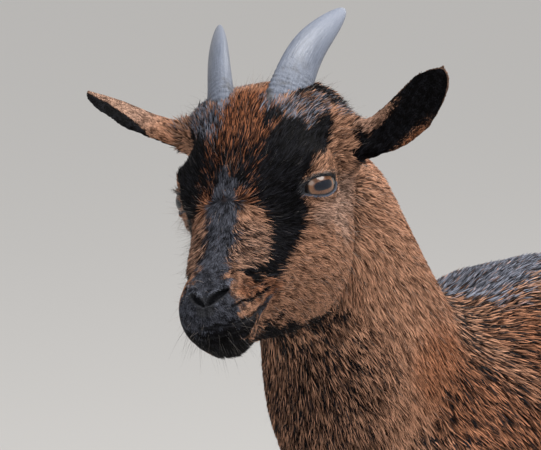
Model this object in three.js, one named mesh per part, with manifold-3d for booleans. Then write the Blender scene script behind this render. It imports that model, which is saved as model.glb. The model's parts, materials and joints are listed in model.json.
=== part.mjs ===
// A young dwarf goat with short horns, standing square with its head turned and tilted to its left.
//
// The flesh is one soft field: a sum of rounded masses that melt into each other. Each piece is a
// skin wrapped round a path inside that field, and thin flat cuts part it from its neighbours.
// The goat faces -Y, its left side is +X and up is +Z. Lengths are in millimetres.
import * as THREE from "three";
import { mergeVertices } from "three/addons/utils/BufferGeometryUtils.js";
import Module from "manifold-3d";

// ---------------------------------------------------------------- driving dimensions

const WITHERS_HEIGHT = 450; // floor to the top of the shoulders, coat included
const HEAD_SCALE = 1; // 1 gives a head 175 mm long from poll to nose
const HEAD_TURN = 19; // degrees, to the goat's left
const HEAD_NOD = 11; // degrees, muzzle down from the level of the eyes' own frame
const HEAD_TILT = -10.3; // degrees, left side up
const EYES_AT = [17, -335, 518]; // midpoint between the eyes
const LEG_SPREAD = 56; // from the middle plane to the middle of a foot
const GAP = 0.3; // between pieces that meet

const BODY = WITHERS_HEIGHT / 450; // the body's numbers below are those of a 450 mm goat
const DEGREE = Math.PI / 180;

const wasm = await Module();
wasm.setup();

const X = new THREE.Vector3(1, 0, 0);
const vec = (x, y, z) => new THREE.Vector3(x, y, z);
const body = (x, y, z) => vec(x, y, z).multiplyScalar(BODY);

// ---------------------------------------------------------------- fields

// A field gives the distance from a point to a surface, negative inside.

function softMin(a, b, softness) {
  const overlap = Math.max(softness - Math.abs(a - b), 0) / softness;
  return Math.min(a, b) - (overlap * overlap * softness) / 4;
}

const melt = (softness, ...fields) => (p) =>
  fields.reduce((far, field) => softMin(far, field(p), softness), 1e3);

// The same mass on both sides of the middle plane.
const pair = (field) => (p) => field(vec(Math.abs(p.x), p.y, p.z));

// An ellipsoid, which may be turned about X by an angle in degrees.
function ball(centre, radii, turn = 0) {
  const c = Math.cos(turn * DEGREE);
  const s = Math.sin(turn * DEGREE);
  return (p) => {
    const [dx, dy, dz] = [p.x - centre.x, p.y - centre.y, p.z - centre.z];
    const q = [dx, c * dy + s * dz, c * dz - s * dy];
    const [a, b] = [q, q].map((v, power) =>
      Math.hypot(...v.map((w, i) => w / radii[i] ** (power + 1))),
    );
    return b < 1e-9 ? -Math.min(...radii) : (a * (a - 1)) / b;
  };
}

// A limb with round ends, tapering from one radius to another; flat squeezes it across X.
function limb(from, to, fromRadius, toRadius, flat = 1) {
  const along = to.clone().sub(from);
  const squared = along.lengthSq();
  return (p) => {
    const off = p.clone().sub(from);
    const t = THREE.MathUtils.clamp(off.dot(along) / squared, 0, 1);
    off.addScaledVector(along, -t);
    off.x /= flat;
    return (off.length() - THREE.MathUtils.lerp(fromRadius, toRadius, t)) * Math.min(1, flat);
  };
}

// A chain of limbs through joints, each given as [point, radius].
const chain = (joints, flat = 1) =>
  joints.slice(1).map(([to, radius], i) => limb(joints[i][0], to, joints[i][1], radius, flat));

// ---------------------------------------------------------------- trunk and neck masses

const trunkMasses = [
  ball(body(0, -98, 322), [80, 98, 112]), // rib cage
  ball(body(0, 25, 308), [97, 128, 108]), // belly
  ball(body(0, 108, 345), [80, 104, 88]), // loin
  ball(body(0, 182, 362), [68, 70, 78]), // rump
  ...chain([[body(0, -112, 402), 30], [body(0, -45, 416), 30], [body(0, 170, 406), 30]]), // spine
  ball(body(0, -192, 306), [54, 62, 74]), // breast
  pair(limb(body(29, -88, 415), body(58, -178, 322), 24, 36)), // shoulder blade
  pair(limb(body(58, -180, 306), body(58, -142, 248), 33, 27)), // upper arm
  pair(ball(body(52, 126, 396), [20, 28, 25])), // hip bone
  pair(limb(body(43, 158, 362), body(58, 112, 278), 54, 34)), // thigh
  pair(limb(body(36, 214, 360), body(50, 192, 280), 38, 32)), // buttock
  ball(body(0, 218, 402), [26, 30, 26]), // root of the tail
];

// ---------------------------------------------------------------- leg masses

const kneeY = -158;
const hockY = 205;
const foreLegJoints = [
  [body(57, -142, 242), 26],
  [body(LEG_SPREAD, kneeY, 140), 15],
  [body(LEG_SPREAD, kneeY + 2, 126), 14],
  [body(LEG_SPREAD, kneeY + 4, 104), 11.5],
  [body(LEG_SPREAD, kneeY + 4, 62), 11],
  [body(LEG_SPREAD, kneeY + 4, 49), 13.5],
];
const hindLegJoints = [
  [body(58, 114, 270), 36],
  [body(LEG_SPREAD, 180, 190), 18],
  [body(LEG_SPREAD, hockY, 156), 14],
  [body(LEG_SPREAD, hockY - 5, 122), 12.3],
  [body(LEG_SPREAD, hockY - 11, 64), 11],
  [body(LEG_SPREAD, hockY - 13, 50), 13.5],
];
const TOE_SPREAD = 8.2; // from the middle of a foot to the middle of each toe
const CORONET = 22; // height of the top of the hoof at the foot's middle
const CORONET_SLOPE = 0.34; // the hoof's top rises towards the toe
const foreFoot = body(LEG_SPREAD, kneeY - 10, CORONET);
const hindFoot = body(LEG_SPREAD, hockY - 29, CORONET);

// Two toes slope down and forward from the last joint of a leg.
const toes = (ankle, foot) =>
  [-1, 1].map((side) =>
    limb(
      vec(ankle.x + side * 4, ankle.y, ankle.z),
      vec(foot.x + side * TOE_SPREAD, foot.y, foot.z - 4),
      10.5,
      10.5,
    ),
  );
const foreLegMasses = [
  ...chain(foreLegJoints),
  ball(body(LEG_SPREAD, kneeY - 2, 135), [15, 16, 19]), // knee
  ball(body(58, -120, 240), [17, 16, 19]), // elbow
  ...toes(foreLegJoints.at(-1)[0], foreFoot),
];
const hindLegMasses = [
  ...chain(hindLegJoints),
  limb(body(52, 196, 280), body(LEG_SPREAD, 198, 214), 30, 14), // back of the thigh
  limb(body(LEG_SPREAD, 207, 222), body(LEG_SPREAD, hockY + 15, 169), 10, 9.5), // heel cord and hock point
  ball(body(LEG_SPREAD, hockY + 2, 156), [13.5, 17, 20]), // hock
  ...toes(hindLegJoints.at(-1)[0], hindFoot),
];

// ---------------------------------------------------------------- head masses, in the head's own frame

// The head's frame has its origin between the eyes, and the same directions as the goat's.
const headPose = new THREE.Matrix4().compose(
  vec(...EYES_AT).multiplyScalar(BODY),
  new THREE.Quaternion().setFromEuler(
    new THREE.Euler(HEAD_NOD * DEGREE, HEAD_TILT * DEGREE, HEAD_TURN * DEGREE, "ZXY"),
  ),
  vec(HEAD_SCALE, HEAD_SCALE, HEAD_SCALE),
);
const headPoseBack = headPose.clone().invert();
const onHead = (x, y, z) => vec(x, y, z).applyMatrix4(headPose);
const headDirection = (x, y, z) => vec(x, y, z).transformDirection(headPose);

const EYE_RADIUS = 13;
const eyeCentre = vec(38.4, 6.6, -0.3);
const eyeAxis = vec(0.8, -0.58, 0.14).normalize();
const eyeSlit = vec(0.593, 0.803, -0.062); // from the tear corner to the outer corner

const headMasses = [
  ball(vec(0, 34, 16), [43, 48, 40]), // brain case
  ball(vec(0, 8, 2), [38, 46, 36], 20), // forehead
  pair(ball(vec(37.5, 7, -1), [13.5, 17.5, 15.5])), // rim of the eye
  pair(ball(vec(31, -2, 14), [12, 20, 9], 25)), // brow
  limb(vec(0, -16, -12), vec(0, -72, -40), 30, 18.5), // bridge of the nose
  pair(ball(vec(18, -30, -32), [14, 36, 19], 15)), // side of the face
  ball(vec(0, -80, -42), [16.5, 20.5, 17], 15), // nose
  pair(ball(vec(10, -82, -42), [8, 13, 12], 20)), // side of the nostril
  ball(vec(0, -78, -55), [16, 19, 11.5]), // lips and chin
  pair(ball(vec(27, 14, -38), [16, 36, 38], -12)), // cheek
  ball(vec(0, 6, -44), [33, 48, 40], 12), // jaw
  limb(vec(0, -10, -58), vec(0, -72, -58), 25, 13, 0.9), // lower jaw
  ball(vec(44, 51, 11), [15, 15, 16]), // root of the left ear
  ball(vec(-49, 50, 22), [15, 15, 15]), // root of the right ear, which is held higher
  pair(ball(vec(22, 34, 44), [15, 16, 12])), // root of the horn
  pair(ball(vec(34, 44, 34), [14, 16, 14])), // crown beside the horn
];
const headField = melt(14, ...headMasses);
const head = (p) => HEAD_SCALE * headField(p.clone().applyMatrix4(headPoseBack));

// ---------------------------------------------------------------- neck masses

const neckJoints = [
  [body(0, -184, 345), 78],
  [body(0, -214, 398), 66],
  [body(0, -238, 460), 50],
  [onHead(0, 76, -32), 43],
];
const neck = melt(28, ...chain(neckJoints, 0.82), ball(onHead(0, 80, -34), [44, 40, 40]));
const throat = limb(body(6, -250, 432), onHead(0, 20, -48), 34, 26, 0.9);

// ---------------------------------------------------------------- tail

const tailJoints = [
  [body(0, 226, 404), 22],
  [body(0, 256, 426), 14],
  [body(0, 280, 452), 14],
  [body(0, 292, 480), 8],
];
const tail = melt(8, ...chain(tailJoints));

// ---------------------------------------------------------------- whole fields, one for each piece

const trunk = melt(30, ...trunkMasses);
const foreLegs = pair(melt(8, ...foreLegMasses));
const hindLegs = pair(melt(9, ...hindLegMasses));
const fields = {
  trunk: melt(22, trunk, neck),
  neck: melt(22, trunk, neck, throat, head),
  head: melt(22, neck, throat, head),
  tail: melt(22, trunk, tail),
  fore: melt(22, trunk, foreLegs),
  hind: melt(22, trunk, hindLegs),
};

// ---------------------------------------------------------------- making solids

const solidOf = (geometry) => {
  for (const name of ["normal", "uv"]) geometry.deleteAttribute(name);
  const merged = mergeVertices(geometry, 1e-3);
  return new wasm.Manifold(
    new wasm.Mesh({
      numProp: 3,
      vertProperties: merged.attributes.position.array,
      triVerts: new Uint32Array(merged.index.array),
    }),
  );
};

// A closed surface from rings with equal numbers of points, run from one end to the other.
function loft(rings, closing = null) {
  const sides = rings[0].length;
  const points = rings.flat();
  const faces = [];
  for (let i = 0; i + 1 < rings.length; i++)
    for (let j = 0; j < sides; j++) {
      const [a, b] = [i * sides + j, i * sides + ((j + 1) % sides)];
      faces.push(a, b, a + sides, b, b + sides, a + sides);
    }
  if (closing) {
    // A pole closes each end.
    const last = (rings.length - 1) * sides;
    const [first, end] = [points.push(closing[0]) - 1, points.push(closing[1]) - 1];
    for (let j = 0; j < sides; j++) {
      const next = (j + 1) % sides;
      faces.push(first, next, j, end, last + j, last + next);
    }
  }
  const geometry = new THREE.BufferGeometry().setFromPoints(points);
  geometry.setIndex(faces);
  return geometry;
}

// Where a ray from inside a field first leaves it.
function leave(field, start, direction) {
  const at = (t) => start.clone().addScaledVector(direction, t);
  const REACH = 400;
  let inside = 0;
  let step = Math.max(-field(start), 1);
  while (inside < REACH && field(at(inside + step)) < 0) {
    inside += step;
    step = Math.max(-field(at(inside)) * 0.8, 0.8);
  }
  let outside = inside + step;
  for (let i = 0; i < 12; i++) {
    const middle = (inside + outside) / 2;
    if (field(at(middle)) < 0) inside = middle;
    else outside = middle;
  }
  return at(outside);
}

// A skin round a path: rings of rays leave it and stop at the field's surface. Round ends close it.
function wrap(field, path, rings, sides, across = X, capRings = 5) {
  const curve = new THREE.CatmullRomCurve3(path, false, "centripetal");
  const made = [];
  const ray = (t, lean, turn) => {
    const along = curve.getTangentAt(t);
    const side = across.clone().addScaledVector(along, -across.dot(along)).normalize();
    const up = along.clone().cross(side);
    const outward = side.multiplyScalar(Math.cos(turn)).addScaledVector(up, Math.sin(turn));
    const direction = outward.multiplyScalar(Math.cos(lean)).addScaledVector(along, Math.sin(lean));
    return leave(field, curve.getPointAt(t), direction);
  };
  const ring = (t, lean) => {
    made.push(Array.from({ length: sides }, (_, j) => ray(t, lean, (2 * Math.PI * j) / sides)));
  };
  const quarter = Math.PI / 2;
  for (let i = 1; i <= capRings; i++) ring(0, quarter * (i / capRings - 1));
  for (let i = 1; i < rings; i++) ring(i / rings, 0);
  for (let i = 0; i < capRings; i++) ring(1, quarter * (i / capRings));
  return solidOf(loft(made, [ray(0, -quarter, 0), ray(1, quarter, 0)]));
}

// Everything on the far side of a plane, half a gap beyond it.
function beyond(point, normal) {
  const SIZE = 2000;
  const half = new THREE.BoxGeometry(SIZE, SIZE, SIZE).translate(0, 0, SIZE / 2 + GAP / 2);
  half.applyQuaternion(new THREE.Quaternion().setFromUnitVectors(vec(0, 0, 1), normal));
  return solidOf(half.translate(...point));
}

const largest = (solid) =>
  solid.decompose().reduce((most, s) => (s.volume() > most.volume() ? s : most));

// ---------------------------------------------------------------- cuts between pieces

const neckCut = [body(0, -165, 437), vec(0, -0.773, 0.635).normalize()];
const headCut = [onHead(0, 62, -5), headDirection(0, 0.85, -0.527)];
const jawCut = [onHead(0, -58, -47.5), headDirection(0, 0.06, -1)];
const tailCut = [body(0, 242, 414), vec(0, 0.8, 0.6).normalize()];
const [back, front] = [1, -1].map((way) => (cut) => beyond(cut[0], cut[1].clone().multiplyScalar(way)));

// A block that holds the part of a leg below the body. outline is its side view, as [y, z], and it
// rises outward from its inner face. Grown by the gap it makes room for the leg in the body.
function legBlock(outline, inner, rise, grow, side) {
  const WIDTH = 130;
  const shape = new THREE.Shape(outline.map((corner) => new THREE.Vector2(...corner)));
  const bevel = { bevelEnabled: grow > 0, bevelSize: grow, bevelThickness: grow, bevelSegments: 1 };
  const block = new THREE.ExtrudeGeometry(shape, { depth: WIDTH, ...bevel });
  block.applyMatrix4(new THREE.Matrix4().makeBasis(vec(0, 1, 0), vec(0, 0, 1), X));
  block.translate(side > 0 ? inner : -inner - WIDTH, 0, 0);
  block.applyMatrix4(new THREE.Matrix4().makeShear(0, side * rise, 0, 0, 0, 0));
  return solidOf(block.scale(BODY, BODY, BODY));
}
const foreOutline = [[-230, 194], [-230, -200], [-103, -200], [-103, 194]];
const hindOutline = [[72, 254], [112, 190], [112, -200], [320, -200], [320, 244]];
const foreBlock = (grow, side) => legBlock(foreOutline, 22, 0.8, grow, side);
const hindBlock = (grow, side) => legBlock(hindOutline, 10, 0.36, grow, side);

// ---------------------------------------------------------------- colours and materials

const coat = (colour, roughness = 0.85) =>
  new THREE.MeshStandardMaterial({ color: colour, roughness, metalness: 0 });
const brownCoat = coat(0x8a5a3c);
const headCoat = coat(0x7c4f35);
const blackCoat = coat(0x1d1b1d);
const earCoat = coat(0x9a6b48);
const horn = coat(0x9aa0ac, 0.55);
const hoof = coat(0x2e2a28, 0.5);
const eye = coat(0x6b4326, 0.1);

const goat = new THREE.Group();

function add(name, solid, material) {
  const made = solid.getMesh();
  const geometry = new THREE.BufferGeometry();
  geometry.setAttribute("position", new THREE.BufferAttribute(made.vertProperties, 3));
  geometry.setIndex(new THREE.BufferAttribute(made.triVerts, 1));
  geometry.computeVertexNormals();
  const mesh = new THREE.Mesh(geometry, material);
  mesh.name = name;
  goat.add(mesh);
}

const SIDES = { left: 1, right: -1 };

// ---------------------------------------------------------------- legs, hooves and dewclaws

// One claw of a cloven hoof: a flat sole, a sloping front wall and a top that slopes like the coronet.
function claw(foot, side) {
  const LENGTH = 37 * BODY;
  const WIDTH = 17 * BODY;
  const CLEFT = 1;
  const LEAN_BACK = 12 * BODY; // how far the front wall leans back from toe to top
  const AROUND = 12;
  const middleY = foot.y - 3 * BODY;
  const outline = (height) =>
    Array.from({ length: AROUND }, (_, i) => {
      const turn = (2 * Math.PI * i) / AROUND;
      const [across, along] = [Math.cos(turn), Math.sin(turn)];
      const toe = Math.max(-along, 0); // 1 at the tip of the toe
      const towardsCleft = side * across < 0;
      const width = (towardsCleft ? 1 : 1 - 0.4 * toe ** 2 - 0.07 * height) * (WIDTH / 2);
      const y = middleY + (along * LENGTH) / 2 + height * LEAN_BACK * toe ** 1.5;
      const top = CORONET * BODY - CORONET_SLOPE * (y - foot.y);
      return vec(foot.x + side * ((WIDTH + CLEFT) / 2) + across * width, y, height * top);
    });
  const rings = [0, 0.4, 1].map(outline);
  const middle = (ring) => ring.reduce((sum, p) => sum.add(p), vec(0, 0, 0)).divideScalar(AROUND);
  return solidOf(loft(rings, [middle(rings[0]), middle(rings.at(-1))]));
}

function dewclaw(ankle, side, grow = 0) {
  const shape = new THREE.SphereGeometry(1, 7, 5).scale(4.4 + grow, 5.6 + grow, 7.2 + grow);
  return solidOf(shape.rotateX(-0.5).translate(ankle.x + side * 6.8, ankle.y + 13.5, ankle.z - 5));
}

const footCut = (foot) => [
  vec(foot.x, foot.y, CORONET * BODY + GAP / 2),
  vec(0, CORONET_SLOPE, 1).normalize(),
];

function leg(kind, sideName, field, path, foot, ankle, block) {
  const side = SIDES[sideName];
  const place = (p) => vec(side * p.x, p.y, p.z);
  const whole = wrap(field, path.map(place), 20, 11, X, 3);
  let solid = largest(whole.intersect(block(0, side)).intersect(back(footCut(place(foot)))));
  for (const [toeName, toe] of [["outer", side], ["inner", -side]]) {
    solid = solid.subtract(dewclaw(place(ankle), toe, GAP));
    add(`claw_${kind}_${sideName}_${toeName}`, claw(place(foot), toe), hoof);
    add(`dewclaw_${kind}_${sideName}_${toeName}`, dewclaw(place(ankle), toe), hoof);
  }
  add(`leg_${kind}_${sideName}`, largest(solid), blackCoat);
}

const forePath = [body(52, -152, 290), ...foreLegJoints.map(([p]) => p), foreFoot];
const hindPath = [
  body(50, 162, 318),
  body(55, 152, 262),
  body(56, 166, 216),
  ...hindLegJoints.slice(2).map(([p]) => p),
  hindFoot,
];
for (const sideName of Object.keys(SIDES)) {
  leg("fore", sideName, fields.fore, forePath, foreFoot, foreLegJoints.at(-1)[0], foreBlock);
  leg("hind", sideName, fields.hind, hindPath, hindFoot, hindLegJoints.at(-1)[0], hindBlock);
}

// ---------------------------------------------------------------- trunk, tail and neck

const trunkPath = [body(0, -158, 326), body(0, -45, 326), body(0, 70, 334), body(0, 178, 356)];
let trunkSolid = wrap(fields.trunk, trunkPath, 20, 24).intersect(front(neckCut)).intersect(front(tailCut));
for (const side of Object.values(SIDES))
  for (const block of [foreBlock, hindBlock]) trunkSolid = trunkSolid.subtract(block(GAP, side));
add("trunk", largest(trunkSolid), brownCoat);

const tailPath = [body(0, 208, 392), ...tailJoints.slice(1).map(([p]) => p)];
add("tail", largest(wrap(fields.tail, tailPath, 8, 10, X, 3).intersect(back(tailCut))), blackCoat);

const neckPath = [body(0, -150, 352), ...neckJoints.slice(1).map(([p]) => p), onHead(0, 26, 0)];
const neckSolid = wrap(fields.neck, neckPath, 12, 22).intersect(back(neckCut));
add("neck", largest(neckSolid.intersect(back(headCut))), brownCoat);

// ---------------------------------------------------------------- horns

// A horn rises from the crown, curves back and leans out. Its section is an oval, long from the
// front towards the middle to the back outside, and its tip is blunt.
function hornSolid(side) {
  const STEPS = 11;
  const AROUND = 10;
  const OVAL = [13.8, 8.2];
  const OVAL_TURN = 35 * DEGREE;
  const spine = new THREE.CatmullRomCurve3(
    [vec(20, 22, 34), vec(24, 40, 53), vec(31, 63, 70), vec(43, 98, 82)].map((p) =>
      onHead(side * p.x, p.y, p.z),
    ),
  );
  const sideways = headDirection(1, 0, 0);
  const rings = [];
  for (let i = 0; i < STEPS; i++) {
    const t = i / STEPS;
    const along = spine.getTangentAt(t);
    const across = sideways.clone().addScaledVector(along, -along.dot(sideways)).normalize();
    const fore = across.clone().cross(along);
    const size = Math.sqrt(1 - t ** 4) * (1.08 - 0.45 * t);
    const ring = Array.from({ length: AROUND }, (_, j) => {
      const turn = (2 * Math.PI * j) / AROUND;
      const [a, b] = [OVAL[0] * size * Math.cos(turn), OVAL[1] * size * Math.sin(turn)];
      const [forward, outward] = [
        a * Math.cos(OVAL_TURN) + b * Math.sin(OVAL_TURN),
        side * (b * Math.cos(OVAL_TURN) - a * Math.sin(OVAL_TURN)),
      ];
      return spine.getPointAt(t).clone().addScaledVector(fore, forward).addScaledVector(across, outward);
    });
    rings.push(side > 0 ? ring : ring.reverse());
  }
  return solidOf(loft(rings, [spine.getPointAt(0), spine.getPointAt(1)]));
}

// ---------------------------------------------------------------- ears

// An ear is a leaf bent into a trough: almost a tube at its root and open towards its tip.
// opening is the way the trough faces, in the head's frame.
function earSolid(points, opening) {
  const STEPS = 11;
  const ACROSS = 6;
  const spine = new THREE.CatmullRomCurve3(points.map((p) => vec(...p)));
  const rings = [];
  for (let i = 0; i <= STEPS; i++) {
    const t = 1 - (1 - i / STEPS) ** 1.5;
    const along = spine.getTangentAt(t);
    const faces = opening.clone().addScaledVector(along, -opening.dot(along)).normalize();
    const wide = faces.clone().cross(along);
    const half = (14 + 5 * Math.sin(Math.PI * t ** 1.4)) * Math.sqrt(1 - t ** 6) + 1.5;
    const bend = THREE.MathUtils.lerp(2.2, 0.5, Math.min(1, t * 1.35));
    const radius = half / bend;
    const thick = 3 + 4 * (1 - t) ** 3;
    const edge = (v, out) => {
      const r = radius + out * (thick / 2) * (1 - 0.55 * v * v);
      return spine
        .getPointAt(t)
        .clone()
        .addScaledVector(wide, r * Math.sin(v * bend))
        .addScaledVector(faces, radius - r * Math.cos(v * bend))
        .applyMatrix4(headPose);
    };
    const steps = Array.from({ length: ACROSS + 1 }, (_, j) => (2 * j) / ACROSS - 1);
    rings.push([...steps.map((v) => edge(v, 1)), ...steps.toReversed().map((v) => edge(v, -1))]);
  }
  return sheetLoft(rings);
}

// Closes a loft of a bent sheet with strips across its thickness at both ends.
function sheetLoft(rings) {
  const geometry = loft(rings);
  const sides = rings[0].length;
  const faces = [...geometry.index.array];
  for (const [first, flip] of [[0, false], [(rings.length - 1) * sides, true]])
    for (let j = 0; j + 1 < sides / 2; j++) {
      const [a, b, c, d] = [j, j + 1, sides - 2 - j, sides - 1 - j].map((k) => first + k);
      const strip = [a, d, b, b, d, c];
      faces.push(...(flip ? strip.toReversed() : strip));
    }
  geometry.setIndex(faces);
  return solidOf(geometry);
}

// ---------------------------------------------------------------- head

const headPath = [onHead(0, 60, -10), onHead(0, 6, -12), onHead(0, -44, -34), onHead(0, -80, -46)];
const headAcross = headDirection(1, 0, 0);
const grown = (field) => (p) => field(p) - GAP;
const headWhole = wrap(fields.head, headPath, 20, 26, headAcross, 5);
const headGrown = wrap(grown(fields.head), headPath, 20, 26, headAcross, 5);

function eyeball(side, radius) {
  const centre = onHead(side * eyeCentre.x, eyeCentre.y, eyeCentre.z);
  return solidOf(new THREE.SphereGeometry(radius, 12, 8).translate(...centre));
}

// The almond between the lids, long from the tear corner in front to the outer corner.
function lidOpening(side) {
  const almond = new THREE.SphereGeometry(1, 12, 8).scale(13, 9, 5.2);
  const slitUp = eyeAxis.clone().cross(eyeSlit);
  almond.applyMatrix4(new THREE.Matrix4().makeBasis(eyeSlit, eyeAxis.clone().negate(), slitUp));
  almond.translate(...eyeCentre.clone().addScaledVector(eyeAxis, EYE_RADIUS + 2));
  almond.translate(...eyeSlit.clone().multiplyScalar(-1.5));
  if (side < 0) almond.applyMatrix4(new THREE.Matrix4().makeScale(-1, 1, 1));
  if (side < 0) almond.setIndex([...almond.index.array].reverse());
  return solidOf(almond.applyMatrix4(headPose));
}

// The muzzle is carried a little to the left, so the nostrils sit either side of NOSE_SHIFT.
function nostril(side) {
  const NOSE_SHIFT = 3;
  const slot = new THREE.SphereGeometry(1, 8, 5).scale(6, 5, 2.4).rotateY(-0.45 * side);
  return solidOf(slot.translate(NOSE_SHIFT + side * 8, -92.5, -30).applyMatrix4(headPose));
}

let headSolid = headWhole.intersect(front(headCut));
for (const [sideName, side] of Object.entries(SIDES)) {
  const eyeSolid = eyeball(side, EYE_RADIUS);
  headSolid = headSolid.subtract(eyeball(side, EYE_RADIUS + GAP)).subtract(lidOpening(side));
  headSolid = headSolid.subtract(nostril(side));
  add(`eye_${sideName}`, eyeSolid, eye);
  add(`horn_${sideName}`, largest(hornSolid(side).subtract(headGrown)), horn);
}
add("head", largest(headSolid.intersect(front(jawCut))), headCoat);
add("lower_jaw", largest(headSolid.intersect(back(jawCut))), blackCoat);

const earLeft = earSolid(
  [[40, 52, 4], [59, 53, 10], [87, 51, 20], [124, 49, 51]],
  vec(-0.21, -0.94, 0.21),
);
const earRight = earSolid(
  [[-40, 52, 22], [-60, 52, 33], [-92, 50, 50], [-120, 48, 67]],
  vec(-0.25, 0, -0.96),
);
add("ear_left", largest(earLeft.subtract(headGrown)), earCoat);
add("ear_right", largest(earRight.subtract(headGrown)), earCoat);

// ---------------------------------------------------------------- origin

// The origin is on the floor under the middle of the goat's box.
const bounds = new THREE.Box3().setFromObject(goat);
const middle = bounds.getCenter(vec(0, 0, 0));
goat.position.set(-middle.x, -middle.y, -bounds.min.z);

export default goat;
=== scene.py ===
# %% [markdown]
# # A young dwarf goat
#
# The packed frame gives one solid for each part of the goat: head, jaw, neck, trunk, tail,
# legs, ears, eyes, horns and hooves. They already have the goat's size and outline, out to the
# tips of its coat. This notebook puts a living surface on them: one skin from nose to tail,
# eyes, horns and hooves with their own finish, and a coat of many small tufts.

# %% Load the frame
import json
import math

import bmesh
import bpy
import numpy as np
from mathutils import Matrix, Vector
from mathutils.bvhtree import BVHTree

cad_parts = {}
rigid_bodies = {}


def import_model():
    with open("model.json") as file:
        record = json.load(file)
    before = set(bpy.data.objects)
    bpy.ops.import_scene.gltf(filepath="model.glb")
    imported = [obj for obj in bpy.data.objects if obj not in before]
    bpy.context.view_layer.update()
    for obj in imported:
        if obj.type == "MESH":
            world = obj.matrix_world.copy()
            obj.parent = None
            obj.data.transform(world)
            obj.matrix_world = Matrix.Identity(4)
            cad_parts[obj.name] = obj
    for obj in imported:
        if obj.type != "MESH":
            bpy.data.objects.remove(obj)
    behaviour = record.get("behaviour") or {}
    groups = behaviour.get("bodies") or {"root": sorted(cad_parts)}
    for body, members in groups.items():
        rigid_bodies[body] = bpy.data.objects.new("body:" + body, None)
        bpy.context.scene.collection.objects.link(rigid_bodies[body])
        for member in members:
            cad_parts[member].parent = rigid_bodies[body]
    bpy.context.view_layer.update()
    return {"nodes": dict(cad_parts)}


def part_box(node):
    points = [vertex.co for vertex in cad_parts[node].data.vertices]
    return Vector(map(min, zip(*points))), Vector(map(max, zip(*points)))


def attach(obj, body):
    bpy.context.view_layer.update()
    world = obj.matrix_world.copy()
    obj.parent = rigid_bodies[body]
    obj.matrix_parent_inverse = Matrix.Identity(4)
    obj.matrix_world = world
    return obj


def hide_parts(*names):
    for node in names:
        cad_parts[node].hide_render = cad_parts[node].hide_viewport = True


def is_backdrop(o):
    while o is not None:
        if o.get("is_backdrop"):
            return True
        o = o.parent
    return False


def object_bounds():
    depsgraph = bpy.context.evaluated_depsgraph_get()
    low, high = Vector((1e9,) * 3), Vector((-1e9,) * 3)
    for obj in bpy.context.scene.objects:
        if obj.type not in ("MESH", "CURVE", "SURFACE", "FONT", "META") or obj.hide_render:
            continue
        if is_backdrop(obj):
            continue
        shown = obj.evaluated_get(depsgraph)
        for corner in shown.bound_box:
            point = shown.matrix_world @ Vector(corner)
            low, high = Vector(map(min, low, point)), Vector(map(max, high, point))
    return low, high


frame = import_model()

MM = 0.001
chance = np.random.default_rng(7)
print("solids:", len(frame["nodes"]))

# %% [markdown]
# ## The head's own directions
#
# Most of the detail sits on the head, and the head is turned, nodded and tilted. Working in
# the head's own frame keeps the numbers readable: x runs to the goat's left, y backwards and
# z up, in millimetres, with zero between the eyes. The eyes' boxes say where that frame is.

# %% Head frame and row frame
HEAD_TURN, HEAD_NOD, HEAD_TILT = 19, 11, -10.3  # degrees
EYE_RADIUS = 13.0
EYE_PLACE = np.array([38.4, 6.6, -0.3])  # the left eye's centre in the head's frame
NOSE_SHIFT = 3.0  # the muzzle is carried a little to the left


def turned(axis, degrees):
    """Rotation matrix about one axis: 0 for x, 1 for y, 2 for z."""
    c, s = math.cos(math.radians(degrees)), math.sin(math.radians(degrees))
    i, j = [(1, 2), (2, 0), (0, 1)][axis]
    m = np.eye(3)
    m[i, i], m[j, j], m[i, j], m[j, i] = c, c, -s, s
    return m


def box_middle(node):
    low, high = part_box(node)
    return (np.array(low) + np.array(high)) / 2


HEAD = turned(2, HEAD_TURN) @ turned(0, HEAD_NOD) @ turned(1, HEAD_TILT)
eyes_middle = (box_middle("eye_left") + box_middle("eye_right")) / 2
HEAD_ORIGIN = eyes_middle - HEAD @ (EYE_PLACE * [0, MM, MM])


def on_head(points):
    """Head frame in millimetres to the row's frame in metres."""
    return HEAD_ORIGIN + np.asarray(points, float) * MM @ HEAD.T


def from_head(points):
    """Row frame in metres to the head's frame in millimetres."""
    return (np.asarray(points) - HEAD_ORIGIN) @ HEAD / MM


def unit(vectors):
    vectors = np.asarray(vectors, float)
    return vectors / np.maximum(np.linalg.norm(vectors, axis=-1, keepdims=True), 1e-12)


def fade(low, high, values):
    """0 below low, 1 above high and smooth between. low may be the larger of the two."""
    t = np.clip((np.asarray(values, float) - low) / (high - low), 0, 1)
    return t * t * (3 - 2 * t)


print("between the eyes:", HEAD_ORIGIN.round(4))

# %% [markdown]
# ## Camera, light and floor
#
# A long lens from three metres, looking a little down on the face, keeps nose and ears in
# proportion as a portrait does. Three large soft lamps stand in for an overcast sky: a broad one
# overhead, a weak one from the front and one from behind that catches the coat's edge. A picture
# of a sky could light the goat too, but lamps need no file. The floor is one wide face with an
# even glow, so that it stays plain and the goat still casts a soft shadow on it.

# %% Camera
CAMERA_AZIMUTH, CAMERA_ELEVATION = 42, 9  # degrees
CAMERA_DISTANCE = 3.0
VIEW_OFFSET = (-11.36, 17.27)  # mm from the view's centre to the head's origin, right and up
LENS, SENSOR = 334, 36


def camera_axes(azimuth, elevation):
    """Right, up and towards-the-camera directions of a view."""
    a, e = math.radians(azimuth), math.radians(elevation)
    towards = np.array([math.sin(a) * math.cos(e), -math.cos(a) * math.cos(e), math.sin(e)])
    right = np.array([math.cos(a), math.sin(a), 0.0])
    return right, np.cross(towards, right), towards


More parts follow.
